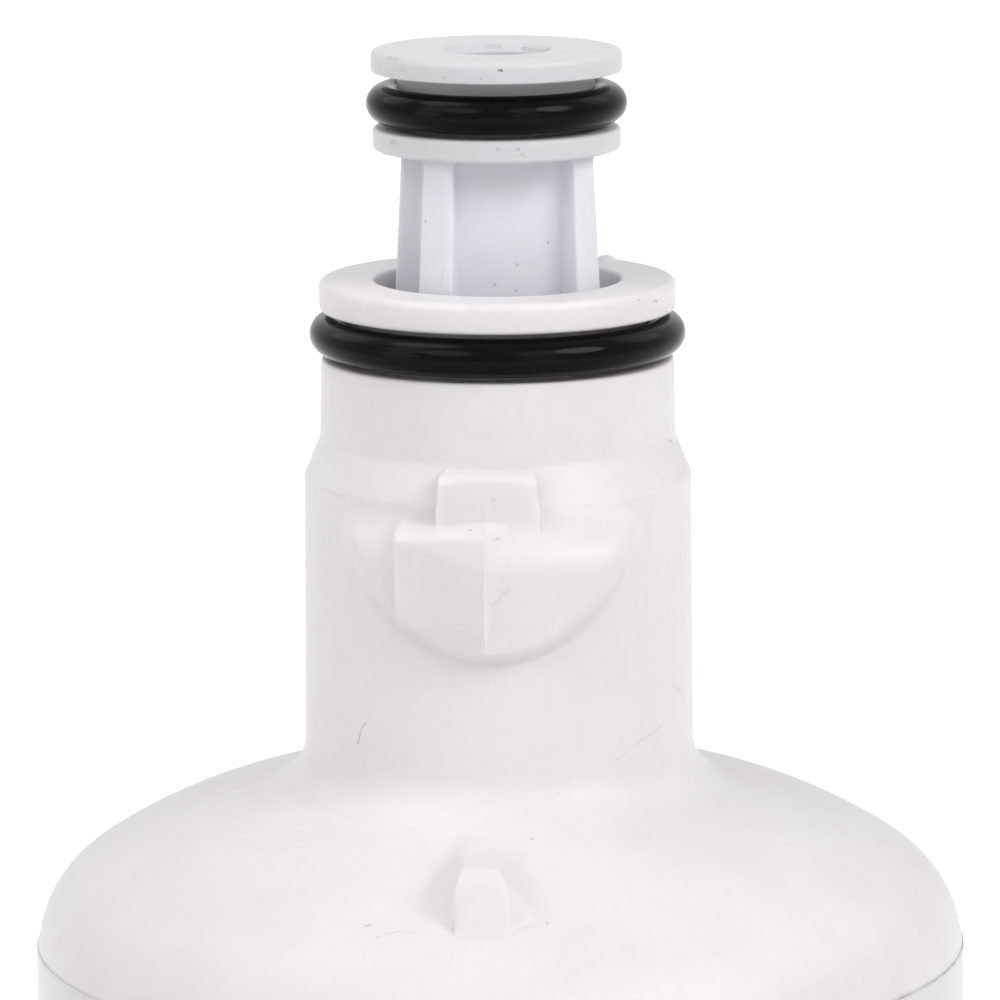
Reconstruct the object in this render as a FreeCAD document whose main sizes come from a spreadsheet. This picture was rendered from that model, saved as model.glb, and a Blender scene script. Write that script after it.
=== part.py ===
import FreeCAD, Part
import math
import operator
import os

import Sketcher

# Fridge water filter cartridge, bottle type, standing on its base with +Z up.
# The origin is the centre of the base, and the bayonet lug with its key faces -Y.

document = FreeCAD.newDocument("filter_cartridge")
sheet = document.addObject("Spreadsheet::Sheet", "Sizes")

# Driving dimensions in millimetres and degrees
SIZES = {
    # whole cartridge
    "overall_height": 216.25,
    "body_diameter": 63.6,
    "body_wall": 2.2,
    # shoulder: a large crown arc that turns into a small knuckle arc
    "crown_radius": 33.8,
    "knuckle_radius": 7.8,
    "shoulder_rise": 12.0,
    # neck, from the mouth down
    "nozzle_reach": 15.6,
    "neck_height": 34.4,
    "collar_height": 2.05,
    "collar_land": 2.0,
    "collar_round": 0.45,
    "mouth_bevel": 0.25,
    "neck_groove_width": 3.3,
    "upper_neck_height": 5.4,
    "upper_neck_land": 1.83,
    "neck_draft": 0.15,
    "neck_step": 1.05,
    "neck_step_height": 2.6,
    "neck_seal_wall": 1.8,
    "mouth_length": 7.6,
    "mouth_funnel": 3.2,
    "neck_wall": 2.3,
    "gate_radius": 0.9,
    "gate_height": 0.5,
    "gate_angle": 46.0,
    # seals: inner diameter on the groove floor and cord section
    "neck_ring_inner": 20.3,
    "nozzle_ring_inner": 12.4,
    "ring_section": 2.62,
    "ring_seat": 0.02,
    "nozzle_ring_gap": 0.3,
    # bayonet lugs
    "lug_radius": 9.9,
    "lug_rise": 2.3,
    "lug_flare": 3.3,
    "lug_foot_rise": 1.3,
    "lug_nose_round": 1.4,
    "lug_root": 1.2,
    "cheek_width": 6.4,
    "cheek_rise": 0.55,
    "cheek_set_back": 1.5,
    "cheek_drop": 0.9,
    "cheek_root": 3.4,
    "cheek_bevel": 0.7,
    "key_width": 6.9,
    "key_rise": 0.6,
    "key_overlap": 1.1,
    "key_bevel": 0.5,
    # locating rib on the shoulder
    "rib_reach": 12.4,
    "rib_drop": 0.65,
    "rib_depth": 4.2,
    "rib_width": 2.5,
    "rib_flare": 2.5,
    "rib_front_flare": 1.8,
    # outlet nozzle
    "flange_thickness": 1.45,
    "flange_land": 2.3,
    "flange_round": 0.4,
    "flange_bevel": 0.3,
    "nozzle_groove_width": 3.8,
    "lower_flange_thickness": 1.5,
    "lower_flange_land": 2.2,
    "hub_land": 0.51,
    "hub_height": 1.7,
    "hub_taper": 0.68,
    "outlet_bore": 6.4,
    "outlet_lead_in": 0.6,
    "stem_top_width": 14.1,
    "mouth_gap": 0.5,
    "flute_floor": 4.6,
    "flute_half_width": 3.6,
    "flute_draft": 22.0,
    "nozzle_turn": 14.0,
    "stem_tube_wall": 1.9,
    "plug_length": 9.0,
    "plug_land": 1.2,
    "plug_lead_in": 0.8,
    # block and its caps
    "socket_glue": 0.1,
    "socket_wall": 2.0,
    "flow_gap": 3.4,
    "cap_thickness": 2.6,
    "cap_skirt": 5.0,
    "cap_skirt_wall": 1.2,
    "cap_fit": 0.05,
    "wrap_thickness": 1.0,
    "block_bore": 12.0,
    "block_headroom": 2.5,
    # base cap
    "weld_height": 9.0,
    "base_corner": 2.6,
    "base_floor": 2.6,
    "base_recess": 3.0,
    "stand_ring_width": 4.0,
    "spigot_height": 6.0,
    "spigot_wall": 2.0,
    "spigot_fit": 0.05,
    "rest_rib_height": 8.0,
    "rest_rib_width": 2.0,
    "rest_rib_inner": 8.0,
    # label
    "label_thickness": 0.12,
    "label_lap": 0.6,
    "label_margin_foot": 6.0,
    "label_seam": 6.0,
}

REST_RIBS = 6
FLUTES = 4
LUG_SWEEP = 120.0
CROWN_EDGE = 3
CLOSE = 1e-4

for row, (alias, number) in enumerate(SIZES.items(), start=1):
    sheet.set(f"A{row}", alias)
    sheet.set(f"B{row}", str(number))
    sheet.setAlias(f"B{row}", alias)
document.recompute()


class Size:
    # A length with its number and the formula that gives it from the table of sizes

    def __init__(self, number, formula):
        self.number = number
        self.formula = formula

    def __add__(self, other):
        return combined(self, "+", other)

    def __sub__(self, other):
        return combined(self, "-", other)

    def __mul__(self, other):
        return combined(self, "*", other)

    def __truediv__(self, other):
        return combined(self, "/", other)

    def __neg__(self):
        return combined(0, "-", self)


OPERATIONS = {"+": operator.add, "-": operator.sub, "*": operator.mul, "/": operator.truediv}


def as_size(value):
    return value if isinstance(value, Size) else Size(float(value), f"{value}")


def combined(first, sign, second):
    first = as_size(first)
    second = as_size(second)
    number = OPERATIONS[sign](first.number, second.number)
    return Size(number, f"({first.formula} {sign} {second.formula})")


def size(alias):
    return Size(float(SIZES[alias]), f"Sizes.{alias}")


# Heights of the housing, from the top down
top = size("overall_height")
collar_top = top - size("nozzle_reach")
collar_foot = collar_top - size("collar_height")
groove_foot = collar_foot - size("neck_groove_width")
step_top = groove_foot - size("upper_neck_height")
step_foot = step_top - size("neck_step_height")
neck_foot = collar_top - size("neck_height")
side_top = neck_foot - size("shoulder_rise")
mouth_foot = collar_top - size("mouth_length")
funnel_foot = mouth_foot - size("mouth_funnel")
weld = size("weld_height")

# Radii of the housing
body_radius = size("body_diameter") / 2
body_inner = body_radius - size("body_wall")
neck_floor = size("neck_ring_inner") / 2 - size("ring_seat")
collar_radius = neck_floor + size("collar_land")
upper_neck_foot = neck_floor + size("upper_neck_land") + size("neck_draft")
lower_neck_top = upper_neck_foot + size("neck_step")
lower_neck_foot = lower_neck_top + size("neck_draft")
mouth_radius = neck_floor - size("neck_seal_wall")
neck_inner = lower_neck_top - size("neck_wall")

# Inner stack, from the shoulder down
cap_radius = body_inner - size("flow_gap")
cap_top = side_top - size("block_headroom")
cap_underside = cap_top - size("cap_thickness")
floor_top = size("base_recess") + size("base_floor")
rest_top = floor_top + size("rest_rib_height")
block_foot = rest_top + size("cap_thickness")
wrap_radius = cap_radius - size("cap_skirt_wall") - size("cap_fit")
block_radius = wrap_radius - size("wrap_thickness")

# Nozzle, from its foot up
bore_radius = size("outlet_bore") / 2
tube_radius = bore_radius + size("stem_tube_wall")
plug_radius = tube_radius + size("plug_land")
socket_radius = plug_radius + size("socket_glue")
socket_top = cap_top + size("plug_length")
nozzle_floor = size("nozzle_ring_inner") / 2 - size("ring_seat")
flange_foot = top - size("flange_thickness")
nozzle_groove_foot = flange_foot - size("nozzle_groove_width")
lower_flange_foot = nozzle_groove_foot - size("lower_flange_thickness")


def new_body(label):
    body = document.addObject("PartDesign::Body", label)
    body.Label = label
    return body


def new_sketch(body, role, name, height=None, turn=None):
    # A sketch on one of the body's own planes, raised to a height and turned where these are given
    plane = next(item for item in body.Origin.OriginFeatures if item.Role == role)
    sketch = body.newObject("Sketcher::SketchObject", name)
    sketch.AttachmentSupport = [(plane, "")]
    sketch.MapMode = "FlatFace"
    if height is not None:
        turned = FreeCAD.Rotation(FreeCAD.Vector(0, 0, 1), number_of(turn or 0))
        sketch.AttachmentOffset = FreeCAD.Placement(FreeCAD.Vector(0, 0, height.number), turned)
        sketch.setExpression("AttachmentOffset.Base.z", height.formula)
    if turn is not None:
        sketch.setExpression("AttachmentOffset.Rotation.Angle", turn.formula)
    return sketch


def number_of(value):
    return value.number if isinstance(value, Size) else float(value)


def place_on(sketch, direction, edge, end, value):
    # Ties one end of an edge to its distance from the sketch's origin
    if abs(value.number) < CLOSE:
        axis = -2 if direction == "DistanceX" else -1
        sketch.addConstraint(Sketcher.Constraint("PointOnObject", edge, end, axis))
        return
    index = sketch.addConstraint(Sketcher.Constraint(direction, -1, 1, edge, end, value.number))
    sketch.setExpression(f"Constraints[{index}]", value.formula)


def arc_between(start, end, centre, radius):
    # The short arc from start to end, and whether it runs clockwise
    first = math.atan2(start.y - centre.y, start.x - centre.x)
    last = math.atan2(end.y - centre.y, end.x - centre.x)
    sweep = (last - first) % (2 * math.pi)
    clockwise = sweep > math.pi
    if clockwise:
        first, last = last, first
    circle = Part.Circle(centre, FreeCAD.Vector(0, 0, 1), radius)
    return Part.ArcOfCircle(circle, first, first + (last - first) % (2 * math.pi)), clockwise


def draw_outline(sketch, corners):
    # Each corner is (across, up) or (across, up, bend). A coordinate that is a Size is tied to it.
    # A bend is (radius, centre, smooth start, smooth end) and makes the edge that leaves the corner an arc.
    points = [FreeCAD.Vector(number_of(corner[0]), number_of(corner[1]), 0) for corner in corners]
    starts = []
    ends = []
    smooth = set()
    count = len(corners)
    for index, corner in enumerate(corners):
        following = (index + 1) % count
        if len(corner) == 2:
            edge = sketch.addGeometry(Part.LineSegment(points[index], points[following]), False)
            starts.append((edge, 1))
            ends.append((edge, 2))
            continue
        radius, centre, smooth_start, smooth_end = corner[2]
        arc, clockwise = arc_between(points[index], points[following], centre, radius.number)
        edge = sketch.addGeometry(arc, False)
        starts.append((edge, 2 if clockwise else 1))
        ends.append((edge, 1 if clockwise else 2))
        bound = sketch.addConstraint(Sketcher.Constraint("Radius", edge, radius.number))
        sketch.setExpression(f"Constraints[{bound}]", radius.formula)
        if smooth_start:
            smooth.add(index)
        if smooth_end:
            smooth.add(following)
    for index, corner in enumerate(corners):
        kind = "Tangent" if index in smooth else "Coincident"
        sketch.addConstraint(Sketcher.Constraint(kind, *ends[index - 1], *starts[index]))
        for direction, value in (("DistanceX", corner[0]), ("DistanceY", corner[1])):
            if isinstance(value, Size):
                place_on(sketch, direction, *starts[index], value)
    return sketch


def revolved(body, kind, name, corners, angle=360.0):
    # A section in the XZ plane turned about the vertical axis
    sketch = new_sketch(body, "XZ_Plane", f"{name}_section")
    draw_outline(sketch, corners)
    feature = body.newObject(f"PartDesign::{kind}", name)
    feature.Profile = sketch
    feature.ReferenceAxis = (sketch, ["V_Axis"])
    feature.Angle = angle
    feature.Midplane = angle < 360.0
    document.recompute()
    return feature


def bound(item, **formulas):
    for name, value in formulas.items():
        item.setExpression(name.replace("__", "."), as_size(value).formula)
    return item


def rounded(body, kind, name, base, edges, amount):
    # A fillet or chamfer on the edges of the base that the test picks
    feature = body.newObject(f"PartDesign::{kind}", name)
    chosen = [f"Edge{index}" for index, edge in enumerate(base.Shape.Edges, start=1) if edges(edge)]
    feature.Base = (base, chosen)
    bound(feature, **{"Radius" if kind == "Fillet" else "Size": amount})
    document.recompute()
    return feature


def is_ring(edge, radius, height):
    # Whether an edge is part of a level circle about the vertical axis
    curve = edge.Curve
    if not isinstance(curve, Part.Circle):
        return False
    level = abs(curve.Center.z - height.number) < CLOSE
    return level and abs(curve.Radius - radius.number) < CLOSE and math.hypot(*curve.Center[:2]) < CLOSE


def shoulder_arcs(radius, foot, crown, knuckle, neck, neck_height):
    # Centres of the knuckle and the crown and the point where they meet, for a first guess at the outline
    knuckle_x = radius - knuckle
    span = math.hypot(neck - knuckle_x, neck_height - foot)
    reach = crown - knuckle
    along = (reach ** 2 - crown ** 2 + span ** 2) / (2 * span)
    aside = math.sqrt(reach ** 2 - along ** 2)
    step_x = (neck - knuckle_x) / span
    step_z = (neck_height - foot) / span
    crown_x = knuckle_x + along * step_x - aside * step_z
    crown_z = foot + along * step_z + aside * step_x
    meet_x = crown_x + (knuckle_x - crown_x) / reach * crown
    meet_z = crown_z + (foot - crown_z) / reach * crown
    knuckle_centre = FreeCAD.Vector(knuckle_x, foot, 0)
    return knuckle_centre, FreeCAD.Vector(crown_x, crown_z, 0), FreeCAD.Vector(meet_x, meet_z, 0)


def shoulder(wall):
    # The corners of the shoulder, on its outside or, a wall further in, on its inside
    knuckle_centre, crown_centre, meet = shoulder_arcs(
        body_radius.number, side_top.number, SIZES["crown_radius"],
        SIZES["knuckle_radius"], lower_neck_foot.number, neck_foot.number)
    turn = meet - (meet - crown_centre).normalize() * number_of(wall)
    knuckle = (size("knuckle_radius") - wall, knuckle_centre, True, True)
    crown = (size("crown_radius") - wall, crown_centre, False, False)
    return [(body_radius - wall, side_top, knuckle), (turn.x, turn.y, crown)]


def add_shoulder_rib(body):
    # The locating rib on the front of the shoulder: a level top whose flanks spread as they run down
    rib_top = neck_foot - size("rib_drop")
    back = -(lower_neck_foot + size("rib_flare") / 2)
    sections = []
    for name, height, spread, front in (
        ("rib_ridge", rib_top, as_size(0), as_size(0)),
        ("rib_foot", rib_top - size("rib_depth"), size("rib_flare"), size("rib_front_flare")),
    ):
        half = size("rib_width") / 2 + spread
        reach = -(lower_neck_foot + size("rib_reach") + front)
        sketch = new_sketch(body, "XY_Plane", name, height)
        draw_outline(sketch, [(-half, back), (-half, reach), (half, reach), (half, back)])
        sections.append(sketch)
    rib = body.newObject("PartDesign::AdditiveLoft", "shoulder_rib")
    rib.Profile = sections[0]
    rib.Sections = [(sections[1], [""])]
    rib.Ruled = True
    document.recompute()


def add_gate(body):
    # What is left of the moulding gate on the collar, behind the mouth
    sketch = new_sketch(body, "XY_Plane", "gate_outline", collar_top - size("collar_round"), size("gate_angle"))
    middle = (collar_radius + mouth_radius) / 2
    circle = Part.Circle(FreeCAD.Vector(middle.number, 0, 0), FreeCAD.Vector(0, 0, 1), SIZES["gate_radius"])
    sketch.addGeometry(circle, False)
    place_on(sketch, "DistanceX", 0, 3, middle)
    place_on(sketch, "DistanceY", 0, 3, as_size(0))
    index = sketch.addConstraint(Sketcher.Constraint("Radius", 0, SIZES["gate_radius"]))
    sketch.setExpression(f"Constraints[{index}]", size("gate_radius").formula)
    gate = body.newObject("PartDesign::Pad", "gate")
    gate.Profile = sketch
    bound(gate, Length=size("gate_height") + size("collar_round"))
    document.recompute()


def make_bottle():
    # The moulded bottle: side wall, shoulder and neck, open at the foot and at the mouth
    body = new_body("bottle")
    form = revolved(body, "Revolution", "form", [
        (as_size(0), weld),
        (body_radius, weld),
        *shoulder(0),
        (lower_neck_foot, neck_foot),
        (lower_neck_top, step_foot),
        (upper_neck_foot, step_top),
        (upper_neck_foot - size("neck_draft"), groove_foot),
        (neck_floor, groove_foot),
        (neck_floor, collar_foot),
        (collar_radius, collar_foot),
        (collar_radius, collar_top),
        (as_size(0), collar_top),
    ])
    crown_height = Sketcher.Constraint("DistanceY", -1, 1, CROWN_EDGE, 3, shoulder(0)[1][2][1].y)
    section = form.Profile[0]
    index = section.addConstraint(crown_height)
    section.setDriving(index, False)
    section.renameConstraint(index, "crown_height")
    rounded(body, "Fillet", "collar_edge", form,
            lambda edge: is_ring(edge, collar_radius, collar_top), size("collar_round"))
    add_shoulder_rib(body)
    add_gate(body)
    crown_radius, crown_centre = shoulder(size("body_wall"))[1][2][:2]
    rise = math.sqrt(crown_radius.number ** 2 - (neck_inner.number - crown_centre.x) ** 2)
    hollow = revolved(body, "Groove", "hollow", [
        (as_size(0), weld),
        (body_inner, weld),
        *shoulder(size("body_wall")),
        (neck_inner, crown_centre.y + rise),
        (neck_inner, funnel_foot),
        (mouth_radius, mouth_foot),
        (mouth_radius, collar_top),
        (as_size(0), collar_top),
    ])
    # the inside of the crown keeps the centre of its outside
    place_on(hollow.Profile[0], "DistanceY", CROWN_EDGE, 3,
             Size(crown_centre.y, f"{section.Name}.Constraints.crown_height"))
    document.recompute()
    rounded(body, "Chamfer", "mouth_edge", hollow,
            lambda edge: is_ring(edge, mouth_radius, collar_top), size("mouth_bevel"))
    return body


def turned_to(item, angle):
    # Turns a piece about the vertical axis by an angle in degrees
    angle = as_size(angle)
    item.Placement = FreeCAD.Placement(FreeCAD.Vector(), FreeCAD.Rotation(FreeCAD.Vector(0, 0, 1), angle.number))
    item.setExpression("Placement.Rotation.Angle", angle.formula)
    return item


def make_nose(name, facing):
    # The flared band that a lug is cut from: it spreads to its nose and then draws in to its foot
    body = new_body(name)
    root = lower_neck_top - size("lug_root")
    nose = lower_neck_top + size("lug_rise")
    nose_height = step_foot - size("lug_flare")
    foot = step_foot - size("lug_radius") - size("lug_root")
    band = revolved(body, "Revolution", f"{name}_band", [
        (root, step_foot),
        (lower_neck_top, step_foot),
        (nose, nose_height),
        (lower_neck_top + size("lug_foot_rise"), foot),
        (root, foot),
    ], LUG_SWEEP)
    rounded(body, "Fillet", f"{name}_round", band,
            lambda edge: is_ring(edge, nose, nose_height), size("lug_nose_round"))
    # the section stands on +X, so a quarter turn back brings it to the front
    return turned_to(body, facing - 90)


def make_cheek(name, facing):
    # The proud flat cheek on one side of a lug's parting line
    body = new_body(name)
    front = lower_neck_top + size("lug_rise") + size("cheek_rise")
    lean = size("lug_rise") - size("lug_foot_rise") + size("cheek_rise")
    cheek_top = step_foot - size("cheek_drop")
    sections = []
    for label, height, reach in (
        ("top", cheek_top, front),
        ("foot", step_foot - size("lug_radius") - size("lug_root"), front - lean),
    ):
        sketch = new_sketch(body, "XY_Plane", f"{name}_{label}", height)
        draw_outline(sketch, [
            (as_size(0), -(lower_neck_top - size("lug_root"))),
            (as_size(0), -reach),
            (-size("cheek_width"), -(reach - size("cheek_set_back"))),
            (-size("cheek_width"), -(lower_neck_top - size("cheek_root"))),
        ])
        sections.append(sketch)
    block = body.newObject("PartDesign::AdditiveLoft", f"{name}_block")
    block.Profile = sections[0]
    block.Sections = [(sections[1], [""])]
    block.Ruled = True
    document.recompute()

    def is_brow(edge):
        level = all(abs(vertex.Z - cheek_top.number) < CLOSE for vertex in edge.Vertexes)
        across = abs(edge.Vertexes[0].X - edge.Vertexes[-1].X) > CLOSE
        forward = max(vertex.Y for vertex in edge.Vertexes) < -(lower_neck_top.number - SIZES["lug_root"])
        return level and across and forward

    rounded(body, "Chamfer", f"{name}_bevel", block, is_brow, size("cheek_bevel"))
    return turned_to(body, facing)


def make_shield(name, facing):
    # The half disc, flat side up, that gives a lug its outline as seen from the front
    shield = document.addObject("Part::Cylinder", name)
    turn = FreeCAD.Rotation(FreeCAD.Vector(0, 0, 1), facing)
    across = turn.multVec(FreeCAD.Vector(-1, 0, 0))
    outward = turn.multVec(FreeCAD.Vector(0, -1, 0))
    upright = FreeCAD.Rotation(across, FreeCAD.Vector(0, 0, -1), outward, "XYZ")
    shield.Placement = FreeCAD.Placement(FreeCAD.Vector(0, 0, step_foot.number), upright)
    shield.Angle = 180
    return bound(shield, Radius=size("lug_radius"), Placement__Base__z=step_foot,
                 Height=lower_neck_top + size("lug_rise") * 2)


def make_lug(name, facing):
    nose = make_nose(f"{name}_nose", facing)
    cheek = make_cheek(f"{name}_cheek", facing)
    whole = fused(f"{name}_whole", [nose, cheek])
    lug = document.addObject("Part::Common", name)
    lug.Base = whole
    lug.Tool = make_shield(f"{name}_shield", facing)
    return lug


def make_key(name):
    # The upright key above the front lug, as high as the step of the neck
    body = new_body(name)
    front = -(lower_neck_top + size("key_rise"))
    root = -(lower_neck_top - size("lug_root"))
    foot = step_foot - size("key_overlap")
    sketch = new_sketch(body, "YZ_Plane", f"{name}_section")
    draw_outline(sketch, [
        (root, foot),
        (front, foot),
        (front, step_top - size("key_bevel")),
        (front + size("key_bevel"), step_top),
        (root, step_top),
    ])
    pad = body.newObject("PartDesign::Pad", f"{name}_pad")
    pad.Profile = sketch
    pad.Midplane = True
    bound(pad, Length=size("key_width"))
    document.recompute()
    return body


def fused(name, pieces):
    union = document.addObject("Part::MultiFuse", name)
    union.Shapes = pieces
    union.Refine = True
    document.recompute()
    return union


def make_housing():
    return fused("housing", [make_bottle(), make_lug("front_lug", 0), make_lug("rear_lug", 180), make_key("key")])


def patterned(body, feature, axis_of, count, name):
    pattern = body.newObject("PartDesign::PolarPattern", name)
    pattern.Originals = [feature]
    pattern.Axis = (axis_of, ["N_Axis"])
    pattern.Angle = 360
    pattern.Occurrences = count
    body.Tip = pattern
    document.recompute()
    return pattern


def make_outlet_nozzle():
    # The stem that stands out of the mouth: two flanges with a seal groove, four flutes, and a plug foot
    body = new_body("outlet_nozzle")
    flange = nozzle_floor + size("flange_land")
    lower_flange = nozzle_floor + size("lower_flange_land")
    lead_in = size("outlet_lead_in")
    form = revolved(body, "Revolution", "stem", [
        (bore_radius, cap_top),
        (plug_radius - size("plug_lead_in"), cap_top),
        (plug_radius, cap_top + size("plug_lead_in")),
        (plug_radius, socket_top),
        (tube_radius, socket_top + plug_radius - tube_radius),
        (tube_radius, funnel_foot),
        (mouth_radius - size("mouth_gap"), mouth_foot),
        (size("stem_top_width") / 2, lower_flange_foot),
        (lower_flange, lower_flange_foot),
        (lower_flange, nozzle_groove_foot),
        (nozzle_floor, nozzle_groove_foot),
        (nozzle_floor, flange_foot - size("hub_height")),
        (nozzle_floor + size("hub_land"), flange_foot - size("hub_height") + size("hub_taper")),
        (nozzle_floor + size("hub_land"), flange_foot),
        (flange, flange_foot),
        (flange, top),
        (bore_radius + lead_in, top),
        (bore_radius, top - lead_in),
    ])
    top_edge = rounded(body, "Fillet", "top_edge", form,
                       lambda edge: is_ring(edge, flange, top), size("flange_round"))
    rounded(body, "Chamfer", "flange_edges", top_edge, lambda edge: (
        is_ring(edge, flange, flange_foot) or is_ring(edge, lower_flange, nozzle_groove_foot)
        or is_ring(edge, lower_flange, lower_flange_foot)
    ), size("flange_bevel"))
    sketch = new_sketch(body, "XY_Plane", "flute_outline", lower_flange_foot)
    slope = Size(math.tan(math.radians(SIZES["flute_draft"])), "tan(Sizes.flute_draft)")
    outside = collar_radius
    half = size("flute_half_width")
    spread = half + (outside - size("flute_floor")) * slope
    draw_outline(sketch, [
        (-half, -size("flute_floor")),
        (-spread, -outside),
        (spread, -outside),
        (half, -size("flute_floor")),
    ])
    flute = body.newObject("PartDesign::Pocket", "flute")
    flute.Profile = sketch
    bound(flute, Length=lower_flange_foot - funnel_foot)
    document.recompute()
    patterned(body, flute, sketch, FLUTES, "flutes")
    return turned_to(body, size("nozzle_turn"))


def make_ring(label, inner, section, height):
    # A rubber cord ring lying level at its height
    ring = document.addObject("Part::Torus", label)
    ring.Label = label
    return bound(ring, Radius1=inner / 2 + section / 2, Radius2=section / 2, Placement__Base__z=height)


def make_tube(label, inner, outer, foot, head):
    body = new_body(label)
    revolved(body, "Revolution", f"{label}_wall", [(inner, foot), (outer, foot), (outer, head), (inner, head)])
    return body


def make_block_top_cap():
    # The cap glued on the block, with the socket that the nozzle's plug stands in
    body = new_body("block_top_cap")
    revolved(body, "Revolution", "top_cap_form", [
        (bore_radius, cap_underside),
        (cap_radius - size("cap_skirt_wall"), cap_underside),
        (cap_radius - size("cap_skirt_wall"), cap_underside - size("cap_skirt")),
        (cap_radius, cap_underside - size("cap_skirt")),
        (cap_radius, cap_top),
        (socket_radius + size("socket_wall"), cap_top),
        (socket_radius + size("socket_wall"), socket_top),
        (socket_radius, socket_top),
        (socket_radius, cap_top),
        (bore_radius, cap_top),
    ])
    return body


def make_block_bottom_cap():
    # The closed cap under the block
    body = new_body("block_bottom_cap")
    revolved(body, "Revolution", "bottom_cap_form", [
        (as_size(0), rest_top),
        (cap_radius, rest_top),
        (cap_radius, block_foot + size("cap_skirt")),
        (cap_radius - size("cap_skirt_wall"), block_foot + size("cap_skirt")),
        (cap_radius - size("cap_skirt_wall"), block_foot),
        (as_size(0), block_foot),
    ])
    return body


def make_base_cap():
    # The welded base: a standing ring round a recess, a spigot inside the bottle and ribs that carry the block
    body = new_body("base_cap")
    stand_inner = body_radius - size("base_corner") - size("stand_ring_width")
    spigot_outer = body_inner - size("spigot_fit")
    spigot_inner = spigot_outer - size("spigot_wall")
    dish = revolved(body, "Revolution", "dish", [
        (as_size(0), size("base_recess")),
        (stand_inner - size("base_recess") / 2, size("base_recess")),
        (stand_inner, as_size(0)),
        (body_radius, as_size(0)),
        (body_radius, weld),
        (spigot_outer, weld),
        (spigot_outer, weld + size("spigot_height")),
        (spigot_inner, weld + size("spigot_height")),
        (spigot_inner, floor_top),
        (as_size(0), floor_top),
    ])
    rounded(body, "Fillet", "base_round", dish,
            lambda edge: is_ring(edge, body_radius, as_size(0)), size("base_corner"))
    sketch = new_sketch(body, "XY_Plane", "rest_rib_outline", floor_top)
    half = size("rest_rib_width") / 2
    draw_outline(sketch, [
        (size("rest_rib_inner"), -half),
        (cap_radius - size("cap_skirt_wall"), -half),
        (cap_radius - size("cap_skirt_wall"), half),
        (size("rest_rib_inner"), half),
    ])
    rib = body.newObject("PartDesign::Pad", "rest_rib")
    rib.Profile = sketch
    bound(rib, Length=size("rest_rib_height"))
    document.recompute()
    patterned(body, rib, sketch, REST_RIBS, "rest_ribs")
    return body


def make_label():
    # The wrap-round label, which laps just onto the knuckle, with its bare seam at the back
    label = document.addObject("Part::Cut", "label")
    foot = size("label_margin_foot") + weld
    tall = side_top + size("label_lap") - foot
    seam = size("label_seam") / body_radius * 180 / Size(math.pi, "pi")
    sheet_round = document.addObject("Part::Cylinder", "label_sheet")
    bound(sheet_round, Radius=body_radius + size("label_thickness"), Height=tall, Angle=as_size(360) - seam)
    turned_to(sheet_round, as_size(90) + seam / 2)
    bound(sheet_round, Placement__Base__z=foot)
    core = document.addObject("Part::Cylinder", "label_core")
    bound(core, Radius=body_radius, Height=tall, Placement__Base__z=foot)
    label.Base = sheet_round
    label.Tool = core
    document.recompute()
    return label


def check_document():
    # Every object has to be sound before anything is written
    for item in document.Objects:
        if "Invalid" in item.State or "Error" in item.State:
            raise ValueError(f"{item.Label} failed: {item.State}")


def write_piece(label, item):
    shape = item.Shape
    if shape.isNull() or not shape.isValid() or not shape.Solids:
        raise ValueError(f"{label} has no sound solid")
    shape.exportStep(f"parts/{label}.step")
    box = shape.BoundBox
    print(f"{label:18} solids {len(shape.Solids)} volume {shape.Volume:10.1f} "
          f"z {box.ZMin:7.2f} to {box.ZMax:7.2f} width {box.XLength:6.2f} by {box.YLength:6.2f}")


ring_section = size("ring_section")
nozzle_ring_height = nozzle_groove_foot + ring_section / 2 + size("nozzle_ring_gap")
neck_ring_height = groove_foot + size("neck_groove_width") / 2

pieces = {
    "housing": make_housing(),
    "base_cap": make_base_cap(),
    "outlet_nozzle": make_outlet_nozzle(),
    "nozzle_o_ring": make_ring("nozzle_o_ring", size("nozzle_ring_inner"), ring_section, nozzle_ring_height),
    "neck_o_ring": make_ring("neck_o_ring", size("neck_ring_inner"), ring_section, neck_ring_height),
    "block_top_cap": make_block_top_cap(),
    "block_bottom_cap": make_block_bottom_cap(),
    "carbon_block": make_tube("carbon_block", size("block_bore") / 2, block_radius, block_foot, cap_underside),
    "sediment_wrap": make_tube("sediment_wrap", block_radius, wrap_radius, block_foot, cap_underside),
    "label": make_label(),
}

document.recompute()
check_document()
os.makedirs("parts", exist_ok=True)
for label, item in pieces.items():
    write_piece(label, item)
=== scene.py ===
import math

import bpy
import numpy as np
from mathutils import Matrix, Vector
from mathutils.bvhtree import BVHTree


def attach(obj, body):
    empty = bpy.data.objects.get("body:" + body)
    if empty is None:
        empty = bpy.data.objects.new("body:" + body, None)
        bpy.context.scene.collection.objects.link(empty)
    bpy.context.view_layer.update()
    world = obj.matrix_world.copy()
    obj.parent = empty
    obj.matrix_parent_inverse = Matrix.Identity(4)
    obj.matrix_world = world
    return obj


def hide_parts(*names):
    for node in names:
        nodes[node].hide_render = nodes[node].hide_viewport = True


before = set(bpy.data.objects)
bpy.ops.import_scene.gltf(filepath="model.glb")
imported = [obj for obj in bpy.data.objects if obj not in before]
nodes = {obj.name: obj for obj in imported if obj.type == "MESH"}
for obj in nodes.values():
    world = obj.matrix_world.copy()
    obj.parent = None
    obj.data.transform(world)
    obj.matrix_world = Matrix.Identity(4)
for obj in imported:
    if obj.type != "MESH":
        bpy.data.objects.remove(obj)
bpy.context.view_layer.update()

mm = 0.001


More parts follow.
